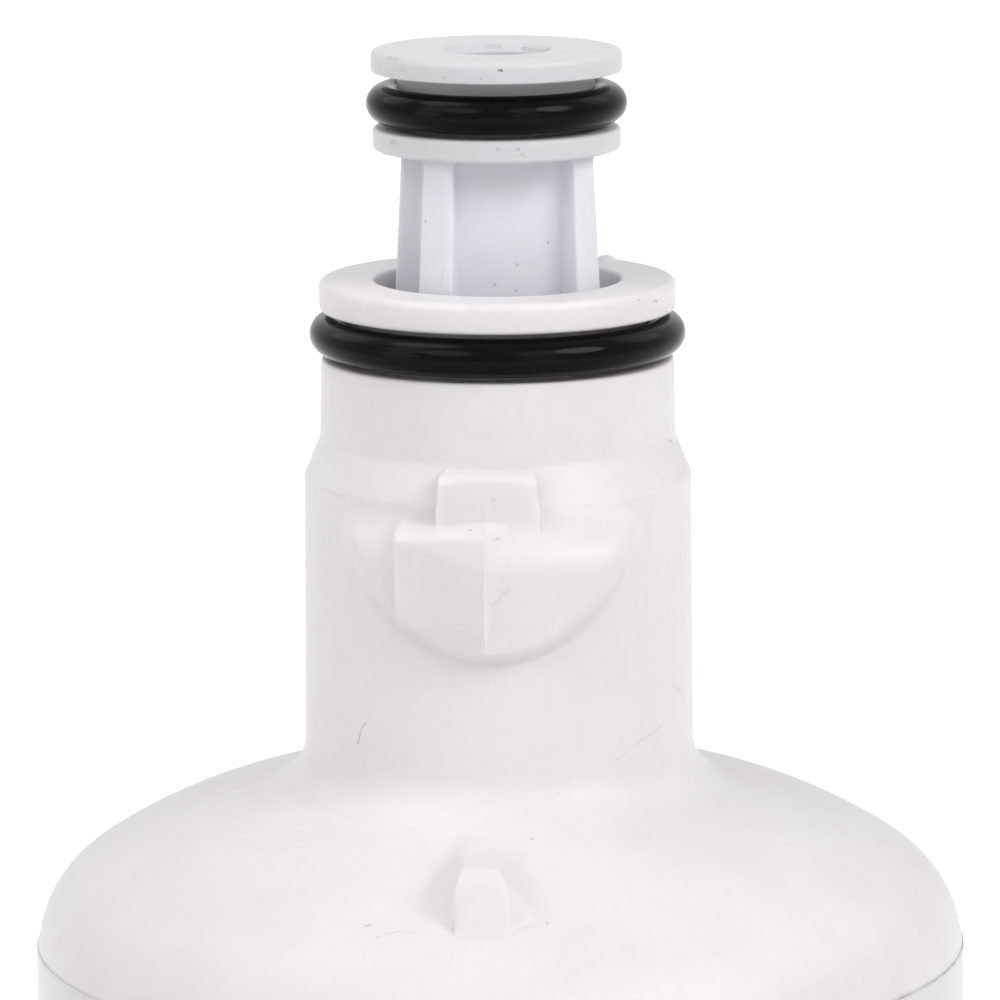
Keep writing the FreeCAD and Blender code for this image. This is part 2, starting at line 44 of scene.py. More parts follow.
# Outlines are (across, up) in mm, read anticlockwise with the axis on the left, so that faces point outwards.
def filleted(corners, steps=5, margin=0.07, closed=True):
    # rounds each corner (across, up, round) of an outline, with a point held close to both ends of the round
    points = []
    count = len(corners)
    for index, corner in enumerate(corners):
        here = np.array(corner[:2], float)
        size = corner[2] if len(corner) > 2 else 0
        if size <= 0 or (not closed and index in (0, count - 1)):
            points.append(here)
            continue
        back = np.array(corners[index - 1][:2], float) - here
        ahead = np.array(corners[(index + 1) % count][:2], float) - here
        backLength, aheadLength = np.linalg.norm(back), np.linalg.norm(ahead)
        back, ahead = back / backLength, ahead / aheadLength
        half = math.acos(float(np.clip(back @ ahead, -1, 1))) / 2
        reach = size / math.tan(half)
        centre = here + (back + ahead) / np.linalg.norm(back + ahead) * size / math.sin(half)
        start, end = here + back * reach - centre, here + ahead * reach - centre
        turn = math.pi - 2 * half
        points.append(here + back * (reach + min(margin, (backLength - reach) * 0.3)))
        for step in range(steps):
            k = step / (steps - 1)
            points.append(centre + (start * math.sin((1 - k) * turn) + end * math.sin(k * turn)) / math.sin(turn))
        points.append(here + ahead * (reach + min(margin, (aheadLength - reach) * 0.3)))
    return points


def arcPoints(centre, radius, start, end, count):
    angles = np.linspace(start, end, count)
    return [np.array([centre[0] + radius * math.cos(a), centre[1] + radius * math.sin(a)]) for a in angles]


def finishedMesh(name, points, faces, material, sharp=40):
    mesh = bpy.data.meshes.new(name)
    mesh.from_pydata([tuple(point) for point in np.asarray(points) * mm], [], faces)
    mesh.validate()
    mesh.polygons.foreach_set("use_smooth", [True] * len(mesh.polygons))
    mesh.set_sharp_from_angle(angle=math.radians(sharp))
    mesh.materials.append(material)
    piece = bpy.data.objects.new(name, mesh)
    bpy.context.scene.collection.objects.link(piece)
    print(f"{name}: {len(mesh.polygons)} faces")
    return piece


def wovenRows(rows, closed=True, wrapped=True, poles=()):
    # joins rows of points around the axis into quads: closed joins the last row to the first, wrapped joins the
    # ends of each row, and a pole (last row or not, point) draws a row together
    rows = [np.asarray(row) for row in rows]
    columns = len(rows[0])
    points = np.concatenate(rows)
    faces = []
    for i in range(len(rows) if closed else len(rows) - 1):
        low, high = i * columns, (i + 1) % len(rows) * columns
        for j in range(columns if wrapped else columns - 1):
            k = (j + 1) % columns
            faces.append((low + j, low + k, high + k, high + j))
    for last, point in poles:
        tip = len(points)
        points = np.vstack([points, point])
        start = (len(rows) - 1) * columns if last else 0
        for j in range(columns):
            k = (j + 1) % columns
            faces.append((start + j, start + k, tip) if last else (start + k, start + j, tip))
    return points, faces


def ringRow(radius, height, angles):
    # angles run from the front, -Y, towards +X
    return np.column_stack([radius * np.sin(angles), -radius * np.cos(angles), np.full(len(angles), height)])


def smoothMin(a, b, soft):
    # the lower of two, rounded over where they differ by less than soft
    h = np.clip(soft - np.abs(a - b), 0, None) / soft
    return np.minimum(a, b) - h * h * soft / 4


def smoothMax(a, b, soft):
    return -smoothMin(-a, -b, soft)


def settle(piece, slot, *replaced):
    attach(piece, "root")
    if replaced:
        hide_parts(*replaced)


# ---- node helpers
def addNode(tree, kind, settings=None, inputs=None, stops=()):
    # settings by their names, inputs as values or as what is linked to them, stops of a colour ramp
    node = tree.nodes.new(kind)
    for name, value in (settings or {}).items():
        setattr(node, name, value)
    for key, value in (inputs or {}).items():
        if isinstance(value, bpy.types.NodeSocket):
            tree.links.new(value, node.inputs[key])
        else:
            node.inputs[key].default_value = value
    while stops and len(node.color_ramp.elements) < len(stops):
        node.color_ramp.elements.new(0.5)
    for i, (place, tone) in enumerate(stops):
        node.color_ramp.elements[i].position = place
        node.color_ramp.elements[i].color = tone if isinstance(tone, tuple) else (tone, tone, tone, 1)
    return node


def colour(code):
    # sRGB hex to linear
    parts = [int(code[i:i + 2], 16) / 255 for i in (1, 3, 5)]
    return (*[c / 12.92 if c <= 0.04045 else ((c + 0.055) / 1.055) ** 2.4 for c in parts], 1.0)


def newMaterial(name):
    # an empty material, its node tree and the object coordinates that its patterns use
    material = bpy.data.materials.new(name)
    material.use_nodes = True
    tree = material.node_tree
    tree.nodes.clear()
    return material, tree, addNode(tree, "ShaderNodeTexCoord").outputs["Object"]


def newGroup(name, kind, inputs, output):
    # a node group with sockets given as (name, type), and what comes in through them
    tree = bpy.data.node_groups.new(name, kind)
    for sockets, way in ((inputs, "INPUT"), ((output,), "OUTPUT")):
        for title, sort in sockets:
            tree.interface.new_socket(name=title, in_out=way, socket_type="NodeSocket" + sort)
    return tree, addNode(tree, "NodeGroupInput").outputs


# ---- camera
camera = {
    "distance": 450.77,       # level distance from the cartridge's axis
    "azimuth": 3.0,           # from the front towards +X
    "height": 268.36,
    "pitch": 10.435,          # downwards
    "yaw": 0.0147,            # brings the axis a little left of the middle
    "roll": 0.26,             # the cartridge leans left by this
    "focal": 6729.0,          # in pixels of the frame
    "frame": 1000,            # pixels across and down
    "sensor": 36,
}


def makeCamera():
    data = bpy.data.cameras.new("camera")
    data.sensor_width = camera["sensor"]
    data.lens = camera["focal"] * camera["sensor"] / camera["frame"]
    data.clip_start = 0.01
    data.clip_end = 20
    item = bpy.data.objects.new("camera", data)
    bpy.context.scene.collection.objects.link(item)
    azimuth = math.radians(camera["azimuth"])
    place = Vector((math.sin(azimuth), -math.cos(azimuth), 0)) * camera["distance"] * mm
    place.z = camera["height"] * mm
    turn = (Matrix.Rotation(azimuth - math.radians(camera["yaw"]), 4, "Z")
            @ Matrix.Rotation(math.radians(90 - camera["pitch"]), 4, "X")
            @ Matrix.Rotation(math.radians(-camera["roll"]), 4, "Z"))
    item.matrix_world = Matrix.Translation(place) @ turn
    bpy.context.scene.camera = item
    return item


cameraItem = makeCamera()


def seenFrom(pixel):
    # the camera's place and the ray through a pixel of the frame
    x, y = pixel
    middle = camera["frame"] / 2
    turn = cameraItem.matrix_world.to_3x3()
    ray = turn @ Vector(((x - middle) / camera["focal"], (middle - y) / camera["focal"], -1))
    return cameraItem.matrix_world.translation, ray.normalized()


# ---- materials
def strokeGroup():
    # how far a point is from a short line, turned into a soft mark
    tree, given = newGroup("stroke", "ShaderNodeTree", (
        ("Point", "Vector"), ("Start", "Vector"), ("End", "Vector"), ("Width", "Float")), ("Mark", "Float"))
    along, toward = [addNode(tree, "ShaderNodeVectorMath", {"operation": "SUBTRACT"}, {
        0: given[end], 1: given["Start"]}).outputs[0] for end in ("End", "Point")]
    reach, length = [addNode(tree, "ShaderNodeVectorMath", {"operation": "DOT_PRODUCT"}, {
        0: line, 1: along}).outputs["Value"] for line in (toward, along)]
    part = addNode(tree, "ShaderNodeMath", {"operation": "DIVIDE", "use_clamp": True}, {0: reach, 1: length})
    nearest = addNode(tree, "ShaderNodeVectorMath", {"operation": "SCALE"}, {0: along, "Scale": part.outputs[0]})
    gap = addNode(tree, "ShaderNodeVectorMath", {"operation": "DISTANCE"}, {0: toward, 1: nearest.outputs[0]})
    size = addNode(tree, "ShaderNodeMath", {"operation": "DIVIDE"}, {0: gap.outputs["Value"], 1: given["Width"]})
    mark = addNode(tree, "ShaderNodeMapRange", {"interpolation_type": "SMOOTHSTEP"}, {
        "Value": size.outputs[0], "From Min": 0.35, "From Max": 1.0, "To Min": 1.0, "To Max": 0.0})
    addNode(tree, "NodeGroupOutput", {}, {"Mark": mark.outputs["Result"]})
    return tree


stroke = strokeGroup()


def strokesOn(tree, place, marks):
    # the strongest of the marks (start, end, width in mm, strength) at each point, broken up as a dry smudge is
    total = 0.0
    for start, end, width, strength in marks:
        one = addNode(tree, "ShaderNodeGroup", {"node_tree": stroke}, {
            "Point": place, "Start": start, "End": end, "Width": width * mm})
        faint = addNode(tree, "ShaderNodeMath", {"operation": "MULTIPLY"}, {0: one.outputs["Mark"], 1: strength})
        total = addNode(tree, "ShaderNodeMath", {"operation": "MAXIMUM"}, {0: total, 1: faint.outputs[0]}).outputs[0]
    broken = addNode(tree, "ShaderNodeTexNoise", {}, {"Vector": place, "Scale": 1 / (0.35 * mm), "Detail": 2})
    fade = addNode(tree, "ShaderNodeValToRGB", {}, {"Fac": broken.outputs["Fac"]}, [(0.3, 0.35), (0.6, 1.0)])
    return addNode(tree, "ShaderNodeMath", {"operation": "MULTIPLY"}, {
        0: total, 1: fade.outputs["Color"]}).outputs[0]


def mouldedPlastic(name, look, marks=()):
    # polypropylene, injection moulded: a satin skin with a soft gloss, faint flow clouding and handling dirt, and where
    # asked a painted shade that greys the top of the piece
    material, tree, place = newMaterial(name)
    clouds = addNode(tree, "ShaderNodeTexNoise", {}, {
        "Vector": place, "Scale": 1 / (look["cloudSize"] * mm), "Detail": 3, "Roughness": 0.55}).outputs["Fac"]
    base = addNode(tree, "ShaderNodeValToRGB", {}, {"Fac": clouds}, [
        (0.32, colour(look["shade"])), (0.5, colour(look["colour"])), (0.7, colour(look["light"]))]).outputs["Color"]
    if "head" in look:
        # painted shade: the top flanges are made greyer from a height upwards, standing in for the lower light that
        # falls on them
        level = addNode(tree, "ShaderNodeSeparateXYZ", {}, {0: place}).outputs["Z"]
        paintedShadeMask = addNode(tree, "ShaderNodeMapRange", {}, {
            "Value": level, "From Min": (look["headFrom"] - 0.6) * mm, "From Max": look["headFrom"] * mm})
        base = addNode(tree, "ShaderNodeMix", {"data_type": "RGBA"}, {
            "Factor": paintedShadeMask.outputs["Result"], 6: base, 7: colour(look["head"])}).outputs[2]
    mottle = addNode(tree, "ShaderNodeTexNoise", {}, {
        "Vector": place, "Scale": 1 / (look["mottleSize"] * mm), "Detail": 2, "Roughness": 0.6})
    tone = addNode(tree, "ShaderNodeValToRGB", {}, {"Fac": mottle.outputs["Fac"]}, [
        (0.3, 1 - look["mottle"]), (0.7, 1.0)])
    base = addNode(tree, "ShaderNodeMix", {"data_type": "RGBA", "blend_type": "MULTIPLY"}, {
        "Factor": 1.0, 6: base, 7: tone.outputs["Color"]}).outputs[2]
    # loose specks of dirt, each a small dot in its own cell
    cells = addNode(tree, "ShaderNodeTexVoronoi", {}, {
        "Vector": place, "Scale": 1 / (look["speckSpacing"] * mm)}).outputs
    chance = addNode(tree, "ShaderNodeSeparateColor", {}, {0: cells["Color"]})
    few = addNode(tree, "ShaderNodeMapRange", {}, {
        "Value": chance.outputs[0], "From Min": 1 - look["speckShare"], "From Max": 1.0,
        "To Min": 0.0, "To Max": look["speckSize"] / look["speckSpacing"]})
    inside = addNode(tree, "ShaderNodeMath", {"operation": "SUBTRACT"}, {
        0: few.outputs["Result"], 1: cells["Distance"]})
    speck = addNode(tree, "ShaderNodeMapRange", {}, {
        "Value": inside.outputs[0], "From Min": 0.0, "From Max": 0.02, "To Min": 0.0, "To Max": look["speckDepth"]})
    dirt = addNode(tree, "ShaderNodeMath", {"operation": "MAXIMUM"}, {
        0: speck.outputs["Result"], 1: strokesOn(tree, place, marks)})
    base = addNode(tree, "ShaderNodeMix", {"data_type": "RGBA"}, {
        "Factor": dirt.outputs[0], 6: base, 7: colour(look["dirt"])}).outputs[2]
    # spark-eroded mould texture, drawn at 0.2 mm because the real 0.05 mm is too fine to show
    grain = addNode(tree, "ShaderNodeTexNoise", {}, {"Vector": place, "Scale": 1 / (0.2 * mm), "Detail": 2})
    fine = addNode(tree, "ShaderNodeBump", {}, {
        "Strength": look["grain"], "Distance": 0.02 * mm, "Height": grain.outputs["Fac"]})
    sink = addNode(tree, "ShaderNodeTexNoise", {}, {
        "Vector": place, "Scale": 1 / (look["sinkSize"] * mm), "Detail": 1})
    broad = addNode(tree, "ShaderNodeBump", {}, {
        "Strength": look["sink"], "Distance": 0.25 * mm, "Height": sink.outputs["Fac"], "Normal": fine.outputs[0]})
    gloss = addNode(tree, "ShaderNodeValToRGB", {}, {"Fac": clouds}, [
        (0.3, look["roughness"] - 0.04), (0.7, look["roughness"] + 0.06)])
    shader = addNode(tree, "ShaderNodeBsdfPrincipled", {}, {
        "Base Color": base, "Roughness": gloss.outputs["Color"], "Normal": broad.outputs[0],
        "IOR": 1.49, "Specular IOR Level": look["specular"],
        "Subsurface Weight": look["depth"], "Subsurface Radius": (1.0, 0.95, 0.9), "Subsurface Scale": 1.2 * mm})
    addNode(tree, "ShaderNodeOutputMaterial", {}, {"Surface": shader.outputs[0]})
    return material


housingLook = {
    "colour": "#e9e5e7", "shade": "#e6e1e2", "light": "#ebe8ea", "dirt": "#6f675f",
    "cloudSize": 9.0, "mottleSize": 0.9, "mottle": 0.02, "sinkSize": 6.0, "sink": 0.12, "grain": 0.12,
    "speckSpacing": 4.2, "speckShare": 0.10, "speckSize": 0.14, "speckDepth": 0.55,
    "roughness": 0.40, "specular": 0.3, "depth": 0.5,
}
# the greyer colour over the nozzle's top flanges is painted shade, not a colour of the plastic
nozzleLook = dict(
    housingLook, colour="#e6e7ed", shade="#e3e4ea", light="#e9eaef", dirt="#77726e",
    speckSpacing=2.6, speckShare=0.12, speckSize=0.12, roughness=0.36, head="#d6d6d9", headFrom=209.6,
)
capLook = dict(housingLook, colour="#e4e3e1", shade="#dfdedc", light="#e8e7e5", roughness=0.5)


# ---- housing
housing = {
    "weld": 9.0, "side": 31.8, "sideTop": 154.25, "wall": 2.2, "crown": 33.8, "knuckle": 7.8, "wallRow": 60.0,
    "neckFoot": (13.31, 166.25), "neckFillet": 3.4, "stepFoot": (13.16, 187.3), "stepTop": (12.11, 189.9),
    "grooveFoot": 195.3, "grooveFloor": 10.13, "grooveTop": 198.6, "upperNeck": 11.96,
    "collar": 12.13, "collarTop": 200.65, "collarRound": 0.45,
    "mouth": 8.33, "mouthFoot": 193.05, "funnelFoot": 189.85, "neckInner": 10.86, "neckInnerRow": 180.0,
    # steps between columns in degrees: at the front, at the rear lug, and between them
    "fineStep": 0.5, "rearStep": 1.0, "coarseStep": 2.8, "fineReach": 51,
    # points on each arc; the crown has more of them outside its split, where the rib ends
    "crownSplit": 23.6, "outerCrown": 34, "innerCrown": 22, "knuckleArc": 18, "filletArc": 10,
    "wallCrown": 9, "wallKnuckle": 6, "collarRows": (11.3, 10.9, 10.55, 10.2, 9.85, 9.5, 9.1),
}
lug = {
    # level rows of the neck, and where they may carry a lug
    "rowStep": 0.15, "rowsFrom": 175.4, "rowsTo": 190.7, "rowsBeyond": 12.9, "from": 175.0, "to": 190.8,
    # the half disc
    "disc": 10.25, "centre": 187.0, "flatTop": 186.95, "cornerFrom": 185.0, "cornerCut": 0.4, "flatRun": 0.6,
    "nose": 15.46, "noseHeight": 184.0, "foot": 14.46, "footHeight": 176.2,
    "neck": 13.16, "noseSoft": 0.9, "rimSoft": 0.9, "rimSlope": 2.5, "rootSoft": 0.6,
    # the cheek on its left half, which grows over growth and stands proud by proudMost at most
    "cheekWidth": 6.3, "cheekTop": 186.35, "cheekFoot": 177.6, "growth": 1.6, "cheekRise": 0.32, "cheekSetBack": 1.6,
    "cheekBevel": 1.25, "cheekCorner": 0.8, "cheekSlope": 2.6, "cheekSoft": 0.45, "bevelSoft": 0.15,
    "sideDrop": 0.6, "sideRun": 2.5, "facetHeight": 183.5, "facetSlant": 0.31, "facetDrop": 0.2,
    "proudMost": 2.2, "proudSoft": 0.08,
    # the ridge in the middle and the narrow flank on its right
    "ridge": -0.15, "flankFoot": 178.3, "flankLeast": 0.1, "flankWidth": 1.4, "flankSpread": 0.27,
    "ledgeSlope": 5, "ledgeSoft": 0.1,
    # the key on the step above, and the mould's parting line
    "keyHalf": 3.38, "keyTop": 189.57, "keyFront": 13.72, "keyBevel": 0.34, "keyCorner": 0.32, "keyMiddle": 13.5,
    "keyFoot": 185.6, "keySlope": 9, "keySoft": 0.12, "keyRoot": 0.6, "keyInset": 0.1,
    "seamHeight": 0.05, "seamHalf": 0.13,
}
rib = {
    "from": 155.0, "to": 167.0, "beyond": 13.6, "reach": 30,
    "top": 165.6, "half": 1.5, "taper": 0.037, "start": 16.0, "front": 25.72, "frontSlope": 3.0, "bevelFrom": 25.15,
    # how far each flank spreads for each mm it drops, along the rib
    "along": (16.0, 20.5, 24.0, 25.4, 26.6, 27.2),
    "leftSpread": (1.4, 1.3, 0.95, 0.6, 0.13, 0.04), "rightSpread": (1.4, 1.27, 0.98, 0.8, 0.31, 0.04),
    "edgeSoft": 0.25, "footSoft": 0.5, "frontSoft": 0.15,
}
# what is left of the moulding gate on the collar
gate = {"angle": 136.0, "radius": 10.23, "size": 0.95, "spread": 1.25, "height": 0.48}


def columnAngles():
    fine, rear, coarse = housing["fineStep"], housing["rearStep"], housing["coarseStep"]
    reach = housing["fineReach"]
    front = np.arange(-reach, reach + 1e-6, fine)
    behind = np.arange(180 - reach, 180 + reach + 1e-6, rear)
    right = np.linspace(reach, 180 - reach, round((180 - 2 * reach) / coarse) + 1)[1:-1]
    angles = np.concatenate([front, right, behind, 360 - right[::-1]])
    return np.radians(angles)


def housingOutline():
    h = housing
    out, inn = h["side"], h["side"] - h["wall"]
    kx, kz = h["side"] - h["knuckle"], h["sideTop"]
    # the crown's centre: its arc passes the neck's foot and runs on into the knuckle's arc
    fx, fz = h["neckFoot"]
    span = math.hypot(fx - kx, fz - kz)
    a = (h["crown"] ** 2 - (h["crown"] - h["knuckle"]) ** 2 + span ** 2) / (2 * span)
    b = math.sqrt(h["crown"] ** 2 - a * a)
    cx = fx + (a * (kx - fx) + b * (kz - fz)) / span
    cz = fz + (a * (kz - fz) - b * (kx - fx)) / span
    join = math.atan2(kz - cz, kx - cx)
    split = math.acos((h["crownSplit"] - cx) / h["crown"])
    # a large hollow fillet joins the crown to the neck
    slope = (h["neckFoot"][0] - h["stepFoot"][0]) / (h["stepFoot"][1] - h["neckFoot"][1])
    side = h["neckFoot"][0] - slope * 3
    hollow = np.array([side + h["neckFillet"], 0.0])
    hollow[1] = cz + math.sqrt((h["crown"] + h["neckFillet"]) ** 2 - (hollow[0] - cx) ** 2)
    neckTop = math.atan2(hollow[1] - cz, hollow[0] - cx)
    wallCrown = h["crown"] - h["wall"]
    innerTop = math.acos((h["neckInner"] - cx) / wallCrown)
    outside = filleted([
        (inn, h["weld"], 0.1), (out - 0.02, h["weld"], 0.18), (out, h["wallRow"]), (out, h["sideTop"])],
        closed=False)
    outside += arcPoints((kx, kz), h["knuckle"], 0.0, join, h["knuckleArc"])[1:]
    outside += arcPoints((cx, cz), h["crown"], join, split, h["outerCrown"])[1:]
    outside += arcPoints((cx, cz), h["crown"], split, neckTop, h["innerCrown"])[1:]
    outside += arcPoints(hollow, h["neckFillet"], neckTop - math.pi, -math.pi, h["filletArc"])[1:]
    neck = filleted([
        tuple(outside[-1]), (*h["stepFoot"], 0.25), (*h["stepTop"], 0.3),
        (h["upperNeck"], h["grooveFoot"], 0.2), (h["grooveFloor"], h["grooveFoot"], 0.15),
        (h["grooveFloor"], h["grooveTop"], 0.15), (h["collar"] - 0.07, h["grooveTop"], 0.25),
        (h["collar"], h["collarTop"], h["collarRound"]), *[(r, h["collarTop"]) for r in h["collarRows"]],
        (h["mouth"], h["collarTop"], 0.22), (h["mouth"], h["mouthFoot"], 0.3),
        (h["neckInner"], h["funnelFoot"], 0.3), (h["neckInner"], h["neckInnerRow"]),
        (h["neckInner"], cz + wallCrown * math.sin(innerTop)),
    ], closed=False)
    inside = arcPoints((cx, cz), wallCrown, innerTop, join, h["wallCrown"])[1:]
    inside += arcPoints((kx, kz), h["knuckle"] - h["wall"], join, 0.0, h["wallKnuckle"])[1:]
    inside += [np.array([inn, h["wallRow"]])]
    points = outside + neck[1:] + inside
    # level rows close together where the lugs are
    low, high = lug["rowsFrom"], lug["rowsTo"]
    start = next(i for i, p in enumerate(points) if p[1] > low and p[0] > lug["rowsBeyond"])
    stop = next(i for i, p in enumerate(points) if i > start and p[1] > high)
    heights = np.arange(low, high, lug["rowStep"])
    old = np.array(points[start - 1:stop + 1])
    across = np.interp(heights, old[:, 1], old[:, 0])
    fine = [np.array([a, b]) for a, b in zip(across, heights)]
    # the first rows, up to just above the lugs, are all on the outside
    outsideRows = start + len(fine) + 4
    return points[:start] + fine + points[stop:], outsideRows


def rimLimit(angle, low, disc, neck, slope):
    # radius at which the half disc's rim stands over a point of the neck, found by halving
    small, large = np.full_like(angle, 5.0), np.full_like(angle, 25.0)
    for step in range(24):
        radius = (small + large) / 2
        over = radius - neck - slope * (disc - np.hypot(radius * np.sin(angle), low)) > 0
        small, large = np.where(over, small, radius), np.where(over, radius, large)
    return small


def lugSurface(angle, height, neck, keyed):
    # how far the neck's outside stands from the axis, with a lug on it centred on angle 0
    g = lug
    rise = (g["nose"] - g["neck"]) / (g["flatTop"] - g["noseHeight"])
    fall = (g["nose"] - g["foot"]) / (g["noseHeight"] - g["footHeight"])
    upper = g["neck"] + (g["flatTop"] - height) * rise
    lower = g["foot"] + (height - g["footHeight"]) * fall
    band = smoothMin(upper, lower, g["noseSoft"])
    x = band * np.sin(angle) - g["ridge"]
    # proud cheek on the left of the ridge, with its own front, bevel, ledge and flanks
    reach = lower + g["cheekRise"] * np.clip((height - g["cheekFoot"]) / g["growth"], 0, 1)
    crest = g["foot"] + (g["cheekTop"] - g["footHeight"]) * fall + g["cheekRise"]
    slant = g["cheekSetBack"] / g["cheekWidth"]
    facet = np.clip(height - (g["facetHeight"] - g["facetSlant"] * x), 0, None) * g["facetDrop"]
    ledge = g["cheekTop"] - height
    depth = smoothMin(reach - facet, crest - g["cheekBevel"] + ledge, g["bevelSoft"])
    left = depth / (np.cos(angle) - slant * np.sin(angle))
    corner = g["cheekCorner"]
    inset = corner - np.hypot(np.clip(corner - x - g["cheekWidth"], 0, None), np.clip(corner - ledge, 0, None))
    side = band - g["sideDrop"] * np.clip(-x / g["sideRun"], 0, 1)
    left = smoothMin(left, side + inset * g["cheekSlope"], g["cheekSoft"])
    least = g["flankLeast"]
    width = np.clip(least + (height - g["flankFoot"]) * g["flankSpread"], least, g["flankWidth"])
    right = band + np.clip(depth - band, 0, None) * np.clip(1 - x / width, 0, 1)
    right = smoothMin(right, band + ledge * g["ledgeSlope"], g["ledgeSoft"])
    cheek = np.where(x > 0, right, left)
    surface = smoothMax(side, np.minimum(cheek, side + g["proudMost"]), g["proudSoft"])
    # the half disc's rim
    low = np.clip(g["centre"] - height, 0, None)
    disc = g["disc"] - g["cornerCut"] * np.clip(height - g["cornerFrom"], 0, None) ** 2
    surface = smoothMin(surface, rimLimit(angle, low, disc, neck, g["rimSlope"]), g["rimSoft"])
    surface = np.where(height > g["flatTop"] + g["flatRun"], neck - 1, surface)
    result = smoothMax(neck, surface, g["rootSoft"])
    inside = (np.hypot(neck * np.sin(angle), low) < disc) & (height < g["flatTop"])
    seam = np.clip(1 - np.abs(neck * np.sin(angle) - g["ridge"]) / g["seamHalf"], 0, 1) * g["seamHeight"]
    if keyed:
        front = g["keyFront"] / np.cos(angle)
        bevel = g["keyFront"] - g["keyBevel"] + (g["keyTop"] - height)
        face = smoothMin(front, bevel, g["keySoft"])
        # how far inside the key's round-cornered outline a point lies
        across = np.abs(g["keyMiddle"] * np.sin(angle)) - (g["keyHalf"] - g["keyCorner"])
        up = height - (g["keyTop"] - g["keyCorner"])
        outline = np.hypot(np.clip(across, 0, None), np.clip(up, 0, None)) + np.minimum(np.maximum(across, up), 0)
        inset = g["keyCorner"] - outline
        key = smoothMin(face, neck + inset * g["keySlope"], g["keySoft"])
        key = np.where(height < g["keyFoot"], neck - 1, key)
        result = smoothMax(result, key, g["keyRoot"])
        inside = inside | ((inset > g["keyInset"]) & (height > g["keyFoot"]))
    return result + np.where(inside, seam, 0)


def ribSurface(across, ahead, level):
    # height of the shoulder with the locating rib on it: its flanks spread from the neck and draw in at the front
    g = rib
    half = g["half"] - (ahead - g["start"]) * g["taper"]
    shape = smoothMin(np.full_like(level, g["top"]), g["top"] + (g["bevelFrom"] - ahead), g["frontSoft"])
    shape = smoothMin(shape, g["top"] + (g["front"] - ahead) * g["frontSlope"], g["frontSoft"])
    for side, spread in ((-1, g["leftSpread"]), (1, g["rightSpread"])):
        gap = side * across - half
        shape = smoothMin(shape, g["top"] - gap / np.interp(ahead, g["along"], spread), g["edgeSoft"])
    return smoothMax(level, shape, g["footSoft"])


def makeHousing(material):
    outline, outsideRows = housingOutline()
    angles = columnAngles()
    front = (angles + math.pi) % (2 * math.pi) - math.pi
    back = angles - math.pi
    gateTurn = math.radians(gate["angle"])
    rows = []
    for index, (across, up) in enumerate(outline):
        radius = np.full(len(angles), across)
        height = np.full(len(angles), up)
        if index < outsideRows and lug["from"] < up < lug["to"]:
            for turn, keyed in ((front, True), (back, False)):
                near = np.abs(turn) < math.radians(housing["fineReach"] - 0.5)
                radius[near] = lugSurface(turn[near], height[near], radius[near], keyed)
        if index < outsideRows and rib["from"] < up < rib["to"] and across > rib["beyond"]:
            near = np.abs(front) < math.radians(rib["reach"])
            height[near] = ribSurface(across * np.sin(front[near]), across * np.cos(front[near]), height[near])
        if abs(up - housing["collarTop"]) < 0.3 and across > housing["mouth"]:
            dx = across * np.sin(angles) - gate["radius"] * math.sin(gateTurn)
            dy = across * np.cos(angles) - gate["radius"] * math.cos(gateTurn)
            lump = np.clip(gate["spread"] - np.hypot(dx, dy) / gate["size"], 0, 1)
            height += gate["height"] * lump * lump * (3 - 2 * lump)
        row = ringRow(1, 0, angles) * radius[:, None]
        row[:, 2] = height
        rows.append(row)
    points, faces = wovenRows(rows)
    return finishedMesh("housing_body", points, faces, material)


# ---- outlet nozzle
nozzle = {
    "turn": 14.0, "floor": 4.6, "half": 3.6, "draft": 22.0, "lipRound": 0.16, "floorRound": 0.3,
    "stemTop": (7.15, 209.5), "stemFoot": (7.93, 193.05), "tube": 5.1, "tubeTop": 189.85,
    "plug": 6.3, "plugTop": 160.75, "foot": 151.75, "bore": 3.2, "leadIn": 0.6,
    "flange": 8.48, "flangeFoot": 214.8, "top": 216.25, "lowerFlange": 8.38, "grooveFoot": 211.0,
    "grooveFloor": 6.18, "hub": 6.69, "hubFoot": 213.1, "hubTaper": 0.68,
    "tubeRow": 175.0, "flutesGrow": (0.25, 0.6, 0.85), "flutesRound": 0.55,
    "stemRows": (194.0, 196, 198, 200, 202, 204, 206, 207.5, 208.4), "topRows": (6.6, 5.0), "boreRows": (200.0, 160.0),
}


def stemSection(radius, close):
    # one turn of the fluted stem as seen from above; close draws the flutes in where they run out under the flange
    g = nozzle
    slope = math.tan(math.radians(g["draft"]))
    floor, half = g["floor"] + close, g["half"] - close * 0.8
    a, b = 1 + slope * slope, 2 * slope * (half - slope * floor)
    c = (half - slope * floor) ** 2 - radius * radius
    lip = (-b + math.sqrt(b * b - 4 * a * c)) / (2 * a)
    lipX = half + (lip - floor) * slope
    lipAngle = math.atan2(lipX, lip)
    arc = [radius * np.array([math.sin(t), math.cos(t)]) for t in np.linspace(math.radians(45), lipAngle, 7)]
    corners = [(-arc[0][0], arc[0][1])] + [(-p[0], p[1]) for p in arc[1:-1]]
    corners += [(-lipX, lip, g["lipRound"]), (-half, floor, g["floorRound"])]
    corners += [(half * k, floor) for k in (-0.7, -0.35, 0, 0.35, 0.7)]
    corners += [(half, floor, g["floorRound"]), (lipX, lip, g["lipRound"])]
    corners += [tuple(p) for p in arc[-2:0:-1]] + [tuple(arc[0])]
    quarter = np.array(filleted(corners, steps=4, margin=0.1, closed=False)[:-1])
    rounds = []
    for turn in range(4):
        t = math.radians(90 * turn + g["turn"])
        # across is +X and outwards is -Y before the turn
        x = quarter[:, 0] * math.cos(t) + quarter[:, 1] * math.sin(t)
        y = quarter[:, 0] * math.sin(t) - quarter[:, 1] * math.cos(t)
        rounds.append(np.column_stack([x, y]))
    return np.concatenate(rounds)


